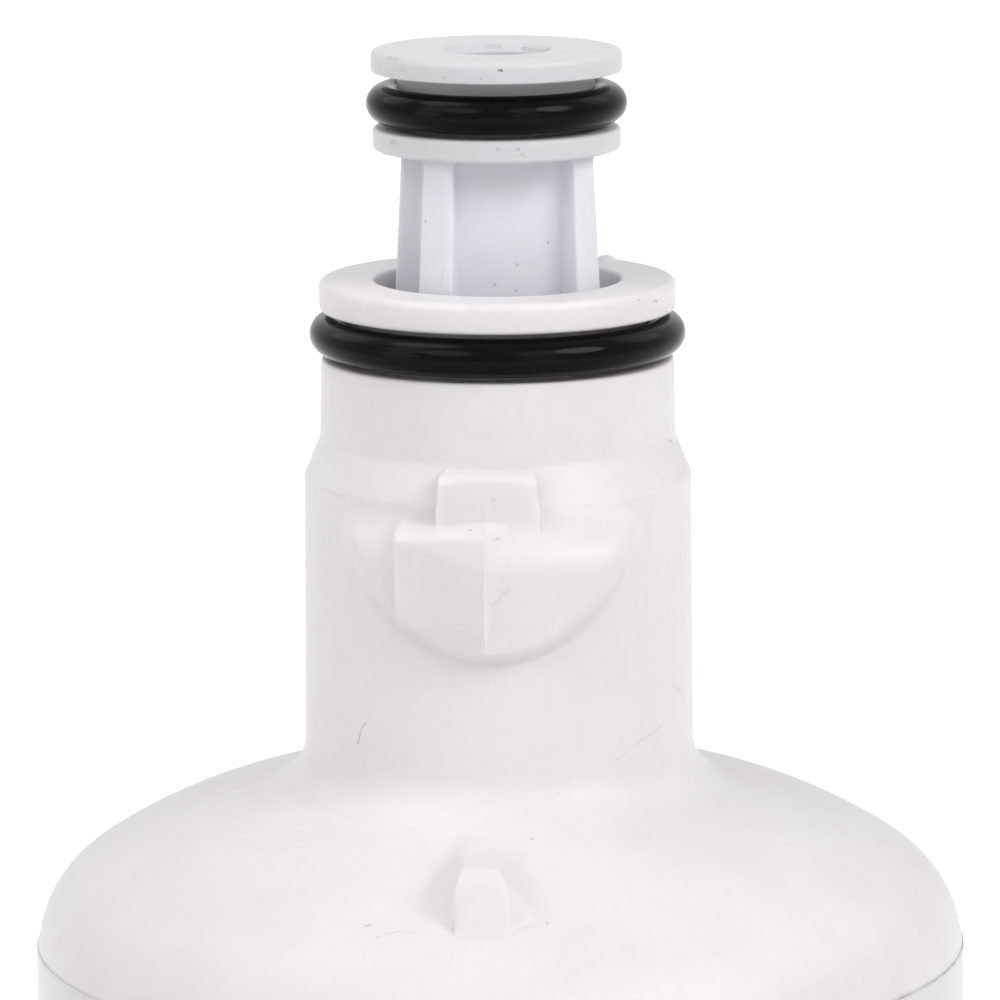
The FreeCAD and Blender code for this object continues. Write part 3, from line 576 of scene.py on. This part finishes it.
def makeNozzle(material):
    g = nozzle
    topR, topZ = g["stemTop"]
    footR, footZ = g["stemFoot"]
    section = stemSection(footR, 0)
    count = len(section)
    first = math.atan2(section[0, 0], -section[0, 1])
    angles = first + np.arange(count) * 2 * math.pi / count
    lower = filleted([
        (g["bore"], g["foot"], 0.1), (g["plug"] - 0.8, g["foot"], 0.1), (g["plug"], g["foot"] + 0.8, 0.1),
        (g["plug"], g["plugTop"], 0.15), (g["tube"], g["plugTop"] + 1.2, 0.2), (g["tube"], g["tubeRow"]),
        (g["tube"], g["tubeTop"])], steps=4, closed=False)
    rows = [ringRow(r, z, angles) for r, z in lower]
    # the round tube opens out into the flutes
    for k in g["flutesGrow"]:
        z = g["tubeTop"] + (footZ - g["tubeTop"]) * k
        flat = ringRow(g["tube"], z, angles)
        flat[:, :2] += (section - flat[:, :2]) * k
        rows.append(flat)
    # the flutes run out under the lower flange in a quarter round
    fillet = g["flutesRound"]
    heights = [footZ, *g["stemRows"], topZ - fillet]
    closes = [0.0] * len(heights)
    for step in range(1, 6):
        t = step / 5 * math.pi / 2
        heights.append(topZ - fillet + fillet * math.sin(t) * 0.999)
        closes.append(fillet * (1 - math.cos(t)))
    for z, close in zip(heights, closes):
        r = topR + (footR - topR) * (topZ - z) / (topZ - footZ)
        ring = stemSection(r + close * 0.25, close)
        rows.append(np.column_stack([ring, np.full(count, z)]))
    upper = filleted([
        (7.75, topZ), (g["lowerFlange"], topZ, 0.3), (g["lowerFlange"], g["grooveFoot"], 0.25),
        (g["grooveFloor"], g["grooveFoot"], 0.12), (g["grooveFloor"], g["hubFoot"], 0.1),
        (g["hub"], g["hubFoot"] + g["hubTaper"], 0.1), (g["hub"], g["flangeFoot"], 0.1),
        (g["flange"], g["flangeFoot"], 0.1), (g["flange"], g["top"], 0.4), *[(r, g["top"]) for r in g["topRows"]],
        (g["bore"] + g["leadIn"], g["top"], 0.12), (g["bore"], g["top"] - g["leadIn"], 0.12),
        *[(g["bore"], z) for z in g["boreRows"]]], closed=False)
    rows += [ringRow(r, z, angles) for r, z in upper]
    points, faces = wovenRows(rows)
    return finishedMesh("nozzle_body", points, faces, material)


# ---- seal rings, a cord section carried round a circle by Geometry Nodes
rings = {
    "neck": {"groove": 10.13, "cord": 2.62, "height": 196.95},
    "nozzle": {"groove": 6.18, "cord": 2.62, "height": 212.61},
    "seat": 0.02, "slack": 0.003, "turns": 256, "sides": 56,
}


def ringTree():
    tree, given = newGroup("sealRing", "GeometryNodeTree", (
        ("Ring Radius", "Float"), ("Cord Radius", "Float"), ("Height", "Float"), ("Turns", "Int"), ("Sides", "Int"),
        ("Material", "Material")), ("Geometry", "Geometry"))
    path, cord = [addNode(tree, "GeometryNodeCurvePrimitiveCircle", {"mode": "RADIUS"}, {
        "Resolution": given[steps], "Radius": given[radius]}).outputs["Curve"]
        for steps, radius in (("Turns", "Ring Radius"), ("Sides", "Cord Radius"))]
    swept = addNode(tree, "GeometryNodeCurveToMesh", {}, {"Curve": path, "Profile Curve": cord})
    offset = addNode(tree, "ShaderNodeCombineXYZ", {}, {"Z": given["Height"]})
    lifted = addNode(tree, "GeometryNodeTransform", {}, {
        "Geometry": swept.outputs["Mesh"], "Translation": offset.outputs[0]})
    smooth = addNode(tree, "GeometryNodeSetShadeSmooth", {}, {"Geometry": lifted.outputs[0], "Shade Smooth": True})
    real = addNode(tree, "GeometryNodeRealizeInstances", {}, {"Geometry": smooth.outputs[0]})
    dressed = addNode(tree, "GeometryNodeSetMaterial", {}, {
        "Geometry": real.outputs[0], "Material": given["Material"]})
    addNode(tree, "NodeGroupOutput", {}, {"Geometry": dressed.outputs[0]})
    return tree


def grown(name, tree, values):
    # runs a Geometry Nodes tree with its named inputs and keeps the plain mesh it makes
    piece = bpy.data.objects.new(name, bpy.data.meshes.new(name))
    bpy.context.scene.collection.objects.link(piece)
    modifier = piece.modifiers.new(name, "NODES")
    modifier.node_group = tree
    sockets = {item.name: item.identifier for item in tree.interface.items_tree if item.in_out == "INPUT"}
    for title, value in values.items():
        modifier[sockets[title]] = value
    found = piece.evaluated_get(bpy.context.evaluated_depsgraph_get())
    mesh = bpy.data.meshes.new_from_object(found)
    piece.modifiers.clear()
    piece.data = mesh
    print(f"{name}: {len(mesh.polygons)} faces")
    return piece


def makeRing(name, tree, size, material):
    cord = size["cord"] / 2
    return grown(name, tree, {
        "Ring Radius": (size["groove"] + rings["seat"] + cord) * mm, "Cord Radius": (cord - rings["slack"]) * mm,
        "Height": size["height"] * mm, "Turns": rings["turns"], "Sides": rings["sides"], "Material": material})


def sealRubber():
    # nitrile rubber, moulded and lightly greased: black, with a soft broad sheen and a little dust
    material, tree, place = newMaterial("nitrileRubber")
    grease = addNode(tree, "ShaderNodeTexNoise", {}, {
        "Vector": place, "Scale": 1 / (3.0 * mm), "Detail": 4}).outputs["Fac"]
    dust = addNode(tree, "ShaderNodeTexVoronoi", {}, {"Vector": place, "Scale": 1 / (0.7 * mm)})
    motes = addNode(tree, "ShaderNodeValToRGB", {}, {"Fac": dust.outputs["Distance"]}, [(0.05, 1.0), (0.11, 0.0)])
    patches = addNode(tree, "ShaderNodeValToRGB", {}, {"Fac": grease}, [(0.5, 0.0), (0.72, 0.5)])
    dusty = addNode(tree, "ShaderNodeMath", {"operation": "MULTIPLY"}, {
        0: motes.outputs["Color"], 1: patches.outputs["Color"]})
    black = addNode(tree, "ShaderNodeMix", {"data_type": "RGBA"}, {
        "Factor": dusty.outputs[0], 6: colour("#080707"), 7: colour("#45403c")})
    gloss = addNode(tree, "ShaderNodeValToRGB", {}, {"Fac": grease}, [(0.35, 0.1), (0.7, 0.22)])
    skin = addNode(tree, "ShaderNodeTexNoise", {}, {"Vector": place, "Scale": 1 / (0.25 * mm), "Detail": 2})
    bump = addNode(tree, "ShaderNodeBump", {}, {
        "Strength": 0.15, "Distance": 0.02 * mm, "Height": skin.outputs["Fac"]})
    shader = addNode(tree, "ShaderNodeBsdfPrincipled", {}, {
        "Base Color": black.outputs[2], "Roughness": gloss.outputs["Color"], "Normal": bump.outputs[0],
        "IOR": 1.52, "Specular IOR Level": 0.065})
    addNode(tree, "ShaderNodeOutputMaterial", {}, {"Surface": shader.outputs[0]})
    return material


# ---- base cap
base = {
    "side": 31.8, "corner": 2.6, "weld": 9.0, "recess": 3.0, "standInner": 25.2, "floorTop": 5.6,
    "spigot": 29.55, "spigotInner": 27.55, "spigotTop": 15.0, "nubRadius": 1.6, "nubHeight": 0.5,
}


def makeBaseCap(material):
    g = base
    outline = filleted([
        (0.4, g["recess"] - g["nubHeight"]), (g["nubRadius"], g["recess"] - g["nubHeight"], 0.1),
        (g["nubRadius"] + 0.15, g["recess"], 0.08), (g["standInner"] - 1.5, g["recess"], 0.25),
        (g["standInner"], 0, 0.25), (g["side"], 0, g["corner"]), (g["side"], g["weld"], 0.18),
        (g["spigot"], g["weld"], 0.1), (g["spigot"], g["spigotTop"], 0.3), (g["spigotInner"], g["spigotTop"], 0.3),
        (g["spigotInner"], g["floorTop"], 0.4), (0.4, g["floorTop"])], steps=7, closed=False)
    angles = np.radians(np.arange(0, 360, 2.0))
    rows = [ringRow(r, z, angles) for r, z in outline]
    points, faces = wovenRows(rows, closed=False, poles=(
        (False, (0, 0, g["recess"] - g["nubHeight"])), (True, (0, 0, g["floorTop"]))))
    return finishedMesh("base_cap_body", points, faces, material)


restRibs = {"count": 6, "inner": 8.0, "outer": 24.9, "thick": 2.0, "foot": 5.55, "top": 13.6}


def ribTree():
    # upright ribs set round a circle
    tree, given = newGroup("restRibs", "GeometryNodeTree", (
        ("Count", "Int"), ("Length", "Float"), ("Thickness", "Float"), ("Height", "Float"), ("Middle", "Float"),
        ("Foot", "Float"), ("Material", "Material")), ("Geometry", "Geometry"))
    half = addNode(tree, "ShaderNodeMath", {"operation": "MULTIPLY"}, {0: given["Height"], 1: 0.5})
    level = addNode(tree, "ShaderNodeMath", {"operation": "ADD"}, {0: half.outputs[0], 1: given["Foot"]})
    size = addNode(tree, "ShaderNodeCombineXYZ", {}, {
        "X": given["Length"], "Y": given["Thickness"], "Z": given["Height"]})
    slab = addNode(tree, "GeometryNodeMeshCube", {}, {"Size": size.outputs[0]})
    circle = addNode(tree, "GeometryNodeMeshCircle", {}, {"Vertices": given["Count"], "Radius": given["Middle"]})
    lift = addNode(tree, "ShaderNodeCombineXYZ", {}, {"Z": level.outputs[0]})
    raised = addNode(tree, "GeometryNodeTransform", {}, {
        "Geometry": circle.outputs[0], "Translation": lift.outputs[0]})
    number = addNode(tree, "GeometryNodeInputIndex")
    share = addNode(tree, "ShaderNodeMath", {"operation": "DIVIDE"}, {0: number.outputs[0], 1: given["Count"]})
    turn = addNode(tree, "ShaderNodeMath", {"operation": "MULTIPLY"}, {0: share.outputs[0], 1: 2 * math.pi})
    spin = addNode(tree, "ShaderNodeCombineXYZ", {}, {"Z": turn.outputs[0]})
    placed = addNode(tree, "GeometryNodeInstanceOnPoints", {}, {
        "Points": raised.outputs[0], "Instance": slab.outputs["Mesh"], "Rotation": spin.outputs[0]})
    real = addNode(tree, "GeometryNodeRealizeInstances", {}, {"Geometry": placed.outputs[0]})
    dressed = addNode(tree, "GeometryNodeSetMaterial", {}, {
        "Geometry": real.outputs[0], "Material": given["Material"]})
    addNode(tree, "NodeGroupOutput", {}, {"Geometry": dressed.outputs[0]})
    return tree


# ---- label
label = {
    "inner": 31.8, "outer": 31.9, "foot": 15.0, "top": 154.85, "bend": 154.25, "seam": 6.0, "columns": 240,
    "rows": (50.0, 85.0, 120.0),
    # printed bands, each colour from its height upwards
    "bands": ((15.0, "#2e4a86"), (24.0, "#b9cbe0"), (25.2, "#dbd9da"), (98.0, "#b9cbe0"), (99.2, "#2e4a86"),
              (118.0, "#b9cbe0"), (119.2, "#dbd9da")),
}


def makeLabel(material):
    g = label
    gap = g["seam"] / 2 / g["inner"]
    angles = np.linspace(-math.pi + gap, math.pi - gap, g["columns"])
    # the film follows the bend of the shoulder, and its upper edge thins out against the wall
    outline = [
        (g["inner"] + 0.005, g["foot"]), (g["outer"], g["foot"]), *[(g["outer"], z) for z in g["rows"]],
        (g["outer"], g["bend"]), (g["outer"] - 0.005, g["top"] - 0.3), (g["outer"] - 0.02, g["top"] - 0.06),
        (g["outer"] - 0.055, g["top"]), (g["inner"] - 0.04, g["top"]), (g["inner"] + 0.005, g["bend"])]
    points, faces = wovenRows([ringRow(r, z, angles) for r, z in outline], wrapped=False)
    # the two ends at the seam
    ends = range(0, len(points), g["columns"])
    faces.append(tuple(ends))
    faces.append(tuple(i + g["columns"] - 1 for i in ends)[::-1])
    return finishedMesh("label_sheet", points, faces, material, sharp=30)


def labelFilm():
    # white polyester film, printed and varnished: smooth, a little glossier than the bottle under it
    material, tree, place = newMaterial("printedPolyesterFilm")
    split = addNode(tree, "ShaderNodeSeparateXYZ", {}, {0: place}).outputs
    low, high = label["foot"] * mm, label["top"] * mm
    level = addNode(tree, "ShaderNodeMapRange", {}, {"Value": split["Z"], "From Min": low, "From Max": high})
    printed = addNode(tree, "ShaderNodeValToRGB", {}, {"Fac": level.outputs["Result"]}, [
        ((z - label["foot"]) / (label["top"] - label["foot"]), colour(code)) for z, code in label["bands"]])
    printed.color_ramp.interpolation = "CONSTANT"
    fibre = addNode(tree, "ShaderNodeTexNoise", {}, {"Vector": place, "Scale": 1 / (5 * mm), "Detail": 3})
    tone = addNode(tree, "ShaderNodeValToRGB", {}, {"Fac": fibre.outputs["Fac"]}, [(0.3, 0.97), (0.7, 1.0)])
    base = addNode(tree, "ShaderNodeMix", {"data_type": "RGBA", "blend_type": "MULTIPLY"}, {
        "Factor": 1.0, 6: printed.outputs["Color"], 7: tone.outputs["Color"]})
    # dirt caught by the glue along the upper edge on the right side only, in dashes about 1.5 mm long
    side = addNode(tree, "ShaderNodeMapRange", {}, {"Value": split["X"], "From Min": 4 * mm, "From Max": 14 * mm})
    edge = addNode(tree, "ShaderNodeMapRange", {}, {
        "Value": split["Z"], "From Min": high - 0.11 * mm, "From Max": high - 0.05 * mm})
    dashes = addNode(tree, "ShaderNodeTexNoise", {}, {"Vector": place, "Scale": 1 / (1.4 * mm), "Detail": 3})
    broken = addNode(tree, "ShaderNodeValToRGB", {}, {"Fac": dashes.outputs["Fac"]}, [(0.42, 0.08), (0.62, 0.5)])
    caught = addNode(tree, "ShaderNodeMath", {"operation": "MULTIPLY"}, {
        0: edge.outputs["Result"], 1: broken.outputs["Color"]})
    dirt = addNode(tree, "ShaderNodeMath", {"operation": "MULTIPLY"}, {
        0: caught.outputs[0], 1: side.outputs["Result"]})
    soiled = addNode(tree, "ShaderNodeMix", {"data_type": "RGBA"}, {
        "Factor": dirt.outputs[0], 6: base.outputs[2], 7: colour("#6c675f")})
    ripple = addNode(tree, "ShaderNodeTexNoise", {}, {"Vector": place, "Scale": 1 / (8 * mm), "Detail": 1})
    bump = addNode(tree, "ShaderNodeBump", {}, {
        "Strength": 0.1, "Distance": 0.1 * mm, "Height": ripple.outputs["Fac"]})
    shader = addNode(tree, "ShaderNodeBsdfPrincipled", {}, {
        "Base Color": soiled.outputs[2], "Roughness": 0.35, "Normal": bump.outputs[0],
        "IOR": 1.5, "Specular IOR Level": 0.35})
    addNode(tree, "ShaderNodeOutputMaterial", {}, {"Surface": shader.outputs[0]})
    return material


# ---- inner pieces, seen only when the cartridge is taken apart
def pressedCarbon():
    # activated carbon, pressed with a binder: black and dull, with a granular skin of grains near 0.3 mm
    material, tree, place = newMaterial("pressedActivatedCarbon")
    grains = addNode(tree, "ShaderNodeTexVoronoi", {}, {
        "Vector": place, "Scale": 1 / (0.5 * mm)}).outputs["Distance"]
    black = addNode(tree, "ShaderNodeValToRGB", {}, {"Fac": grains}, [
        (0.0, colour("#2b2a29")), (0.7, colour("#141313"))])
    bump = addNode(tree, "ShaderNodeBump", {}, {"Strength": 0.6, "Distance": 0.1 * mm, "Height": grains})
    shader = addNode(tree, "ShaderNodeBsdfPrincipled", {}, {
        "Base Color": black.outputs["Color"], "Roughness": 0.85, "Normal": bump.outputs[0]})
    addNode(tree, "ShaderNodeOutputMaterial", {}, {"Surface": shader.outputs[0]})
    return material


def spunbondFelt():
    # polypropylene fibres, spun and point-bonded: matt white with fine random threads
    material, tree, place = newMaterial("spunbondFelt")
    threads = addNode(tree, "ShaderNodeTexNoise", {}, {
        "Vector": place, "Scale": 1 / (0.6 * mm), "Detail": 5, "Distortion": 2.5}).outputs["Fac"]
    white = addNode(tree, "ShaderNodeValToRGB", {}, {"Fac": threads}, [
        (0.3, colour("#d2d0cc")), (0.65, colour("#efeeea"))])
    bump = addNode(tree, "ShaderNodeBump", {}, {"Strength": 0.5, "Distance": 0.1 * mm, "Height": threads})
    shader = addNode(tree, "ShaderNodeBsdfPrincipled", {}, {
        "Base Color": white.outputs["Color"], "Roughness": 0.9, "Normal": bump.outputs[0], "Sheen Weight": 0.2})
    addNode(tree, "ShaderNodeOutputMaterial", {}, {"Surface": shader.outputs[0]})
    return material


# ---- making
print("stage 1: housing and nozzle")
plain = bpy.data.materials.new("plain")
housingPiece = makeHousing(plain)
nozzlePiece = makeNozzle(plain)

print("stage 2: marks and plastics")
# smudges, scratches, specks and darker strokes, as (from, to, width in mm, strength), each placed by where the
# photograph shows it
housingMarks = [
    ((358, 744), (361, 730), 0.08, 0.5), ((361, 730), (366, 722), 0.07, 0.44),
    ((617, 760), (640, 741), 0.065, 0.19), ((640, 741), (656, 731), 0.065, 0.22), ((656, 731), (668, 717), 0.065, 0.19),
    ((668, 717), (690, 706), 0.065, 0.17), ((672, 684), (684, 694), 0.24, 0.08),
    ((305, 489), (325, 489), 0.16, 0.1), ((325, 489), (345, 497), 0.16, 0.07),
    ((558, 793), (554, 822), 0.065, 0.25), ((531.5, 838.5), (532.5, 839), 0.112, 0.68),
    ((374, 939), (386, 934), 0.06, 0.25), ((386, 934), (402, 931), 0.06, 0.28), ((402, 931), (418, 934), 0.06, 0.16),
    ((366, 926), (369, 925), 0.16, 0.34), ((547.5, 922), (547.5, 924), 0.11, 0.3),
    ((492, 606), (508, 590), 0.16, 0.09), ((470, 530), (471, 530.5), 0.128, 0.77), ((495, 540), (499, 538), 0.08, 0.3),
    ((493, 499), (494, 500), 0.096, 0.3), ((469, 310), (509, 312), 0.06, 0.17), ((654, 301), (657, 301), 0.12, 0.42),
    ((638, 300), (640, 300), 0.12, 0.34), ((665, 311), (667, 312), 0.12, 0.34), ((664, 281), (668, 280), 0.075, 0.25),
    ((669, 440), (672, 442), 0.16, 0.34), ((662, 478), (663, 482), 0.09, 0.22),
]
nozzleMarks = [
    ((444.5, 77.6), (445, 78.2), 0.104, 0.68), ((480.5, 79), (481, 79.2), 0.104, 0.51),
    ((499, 70.2), (502, 70.6), 0.136, 0.85),
    # the strokes from (488, 46) and (524, 48) darken the far wall just inside the bore's mouth
    ((388, 57), (398, 59), 0.28, 0.25), ((401, 70), (406, 71), 0.2, 0.22), ((488, 46), (500, 46.5), 0.24, 0.17),
    ((524, 48), (548, 50), 0.32, 0.3), ((391, 142), (396, 142.5), 0.2, 0.33), ((497, 149), (499, 149.5), 0.16, 0.34),
    ((517.5, 149), (519, 150), 0.112, 0.42), ((521, 154), (526, 157), 0.1, 0.28), ((443, 269), (441, 287), 0.08, 0.19),
    ((425.6, 221), (426, 222), 0.096, 0.51), ((548, 242), (548.5, 243), 0.096, 0.42),
    ((517, 264), (517.5, 265), 0.096, 0.42),
    ((495, 284), (495.5, 285), 0.096, 0.51), ((516, 290), (516.5, 291), 0.096, 0.51),
]


def placedMarks(piece, marks):
    # carries the pixels of each mark along the camera's rays to the piece
    tree = BVHTree.FromPolygons([v.co for v in piece.data.vertices], [p.vertices for p in piece.data.polygons])
    found = []
    for start, end, width, strength in marks:
        hits = [tree.ray_cast(*seenFrom(pixel))[0] for pixel in (start, end)]
        if None in hits:
            print("mark off the piece", piece.name, start, end)
            continue
        found.append((tuple(hits[0]), tuple(hits[1]), width, strength))
    return found


housingPlastic = mouldedPlastic("mouldedPolypropylene", housingLook, placedMarks(housingPiece, housingMarks))
nozzlePlastic = mouldedPlastic("nozzlePolypropylene", nozzleLook, placedMarks(nozzlePiece, nozzleMarks))
capPlastic = mouldedPlastic("capPolypropylene", capLook)
housingPiece.data.materials[0] = housingPlastic
nozzlePiece.data.materials[0] = nozzlePlastic
settle(housingPiece, "housing_plastic", "housing")
settle(nozzlePiece, "nozzle_plastic", "outlet_nozzle")

print("stage 3: seal rings")
rubber = sealRubber()
ringMaker = ringTree()
settle(makeRing("neck_seal", ringMaker, rings["neck"], rubber), "seal_rubber", "neck_o_ring")
settle(makeRing("nozzle_seal", ringMaker, rings["nozzle"], rubber), "seal_rubber", "nozzle_o_ring")

print("stage 4: base cap and label")
settle(makeBaseCap(housingPlastic), "housing_plastic", "base_cap")
ribs = grown("base_cap_ribs", ribTree(), {
    "Count": restRibs["count"], "Length": (restRibs["outer"] - restRibs["inner"]) * mm,
    "Thickness": restRibs["thick"] * mm, "Height": (restRibs["top"] - restRibs["foot"]) * mm,
    "Middle": (restRibs["outer"] + restRibs["inner"]) / 2 * mm, "Foot": restRibs["foot"] * mm,
    "Material": housingPlastic})
settle(ribs, "housing_plastic", "base_cap")
settle(makeLabel(labelFilm()), "label_film", "label")

print("stage 5: inner pieces")
for name, material in (("carbon_block", pressedCarbon()), ("sediment_wrap", spunbondFelt()),
                       ("block_top_cap", capPlastic), ("block_bottom_cap", capPlastic)):
    nodes[name].material_slots[0].material = material

print("stage 6: studio")
studio = {
    # in metres: the paper floor, and how its glow grows with the distance from the cartridge
    "floorHalf": 3.0, "glowFrom": 0.12, "glowTo": 0.5, "nearGlow": 0.45, "farGlow": 1.0,
    "worldLevel": 0.27,
    # disc lamps that face the cartridge's neck, all at one distance and of one size, in metres
    "aimHeight": 0.17, "lampDistance": 1.0, "lampSize": 0.5,
    # name, turn from the front towards +X, height angle, light on the cartridge
    "lamps": (
        ("rightLamp", 60, 35, 0.437), ("frontRight", 30, 35, 0.102), ("frontLow", 30, 8, 0.05),
        ("rightBack", 120, 35, 0.063), ("leftLamp", -30, 35, 0.155), ("leftSide", -60, 35, 0.098),
        ("leftLow", -60, 8, 0.084), ("leftHigh", -80, 62, 0.2), ("leftBack", -120, 35, 0.067),
    ),
}


def seenDirectly(tree):
    # 1 to the camera, in reflections and through anything clear, and 0 to the light that falls on the cartridge
    path = addNode(tree, "ShaderNodeLightPath").outputs
    seen = path["Is Camera Ray"]
    for ray in ("Is Glossy Ray", "Is Transmission Ray"):
        seen = addNode(tree, "ShaderNodeMath", {"operation": "MAXIMUM"}, {0: seen, 1: path[ray]}).outputs[0]
    return seen


def makeFloor():
    half = studio["floorHalf"]
    mesh = bpy.data.meshes.new("floor")
    mesh.from_pydata([(-half, -half, 0), (half, -half, 0), (half, half, 0), (-half, half, 0)], [], [(0, 1, 2, 3)])
    floor = bpy.data.objects.new("floor", mesh)
    bpy.context.scene.collection.objects.link(floor)
    # matt white paper, with enough glow towards the camera to read as white and keep the shadow
    material, tree, place = newMaterial("whitePaper")
    fibre = addNode(tree, "ShaderNodeTexNoise", {}, {"Vector": place, "Scale": 1 / (25 * mm), "Detail": 3})
    tone = addNode(tree, "ShaderNodeValToRGB", {}, {"Fac": fibre.outputs["Fac"]}, [
        (0.3, colour("#f2f2f2")), (0.7, colour("#f4f4f4"))])
    diffuse = addNode(tree, "ShaderNodeBsdfDiffuse", {}, {"Color": tone.outputs["Color"]})
    # little glow round the cartridge, so that its shadow stays, and white paper further off
    away = addNode(tree, "ShaderNodeVectorMath", {"operation": "LENGTH"}, {0: place})
    level = addNode(tree, "ShaderNodeMapRange", {"interpolation_type": "SMOOTHSTEP"}, {
        "Value": away.outputs["Value"], "From Min": studio["glowFrom"], "From Max": studio["glowTo"],
        "To Min": studio["nearGlow"], "To Max": studio["farGlow"]})
    strength = addNode(tree, "ShaderNodeMath", {"operation": "MULTIPLY"}, {
        0: seenDirectly(tree), 1: level.outputs["Result"]})
    glow = addNode(tree, "ShaderNodeEmission", {}, {"Color": (1, 1, 1, 1), "Strength": strength.outputs[0]})
    both = addNode(tree, "ShaderNodeAddShader", {}, {0: diffuse.outputs[0], 1: glow.outputs[0]})
    addNode(tree, "ShaderNodeOutputMaterial", {}, {"Surface": both.outputs[0]})
    mesh.materials.append(material)


def makeWorld():
    # white where the camera looks past the floor, plain grey light on everything
    world = bpy.data.worlds.new("studio")
    bpy.context.scene.world = world
    world.use_nodes = True
    tree = world.node_tree
    tree.nodes.clear()
    level = addNode(tree, "ShaderNodeMapRange", {}, {
        "Value": seenDirectly(tree), "To Min": studio["worldLevel"], "To Max": 1.0})
    shader = addNode(tree, "ShaderNodeBackground", {}, {"Color": (1, 1, 1, 1), "Strength": level.outputs["Result"]})
    addNode(tree, "ShaderNodeOutputWorld", {}, {"Surface": shader.outputs[0]})


def makeLamps():
    aim = Vector((0, 0, studio["aimHeight"]))
    away = studio["lampDistance"]
    for name, turn, rise, light in studio["lamps"]:
        data = bpy.data.lights.new(name, "AREA")
        data.shape = "DISK"
        data.size = studio["lampSize"]
        data.energy = light * (math.pi * away) ** 2
        lamp = bpy.data.objects.new(name, data)
        bpy.context.scene.collection.objects.link(lamp)
        turn, rise = math.radians(turn), math.radians(rise)
        toward = Vector((math.sin(turn) * math.cos(rise), -math.cos(turn) * math.cos(rise), math.sin(rise)))
        facing = toward.to_track_quat("Z", "Y").to_matrix().to_4x4()
        lamp.matrix_world = Matrix.Translation(aim + toward * away) @ facing


makeFloor()
makeWorld()
makeLamps()
bpy.context.scene.view_settings.view_transform = "Standard"
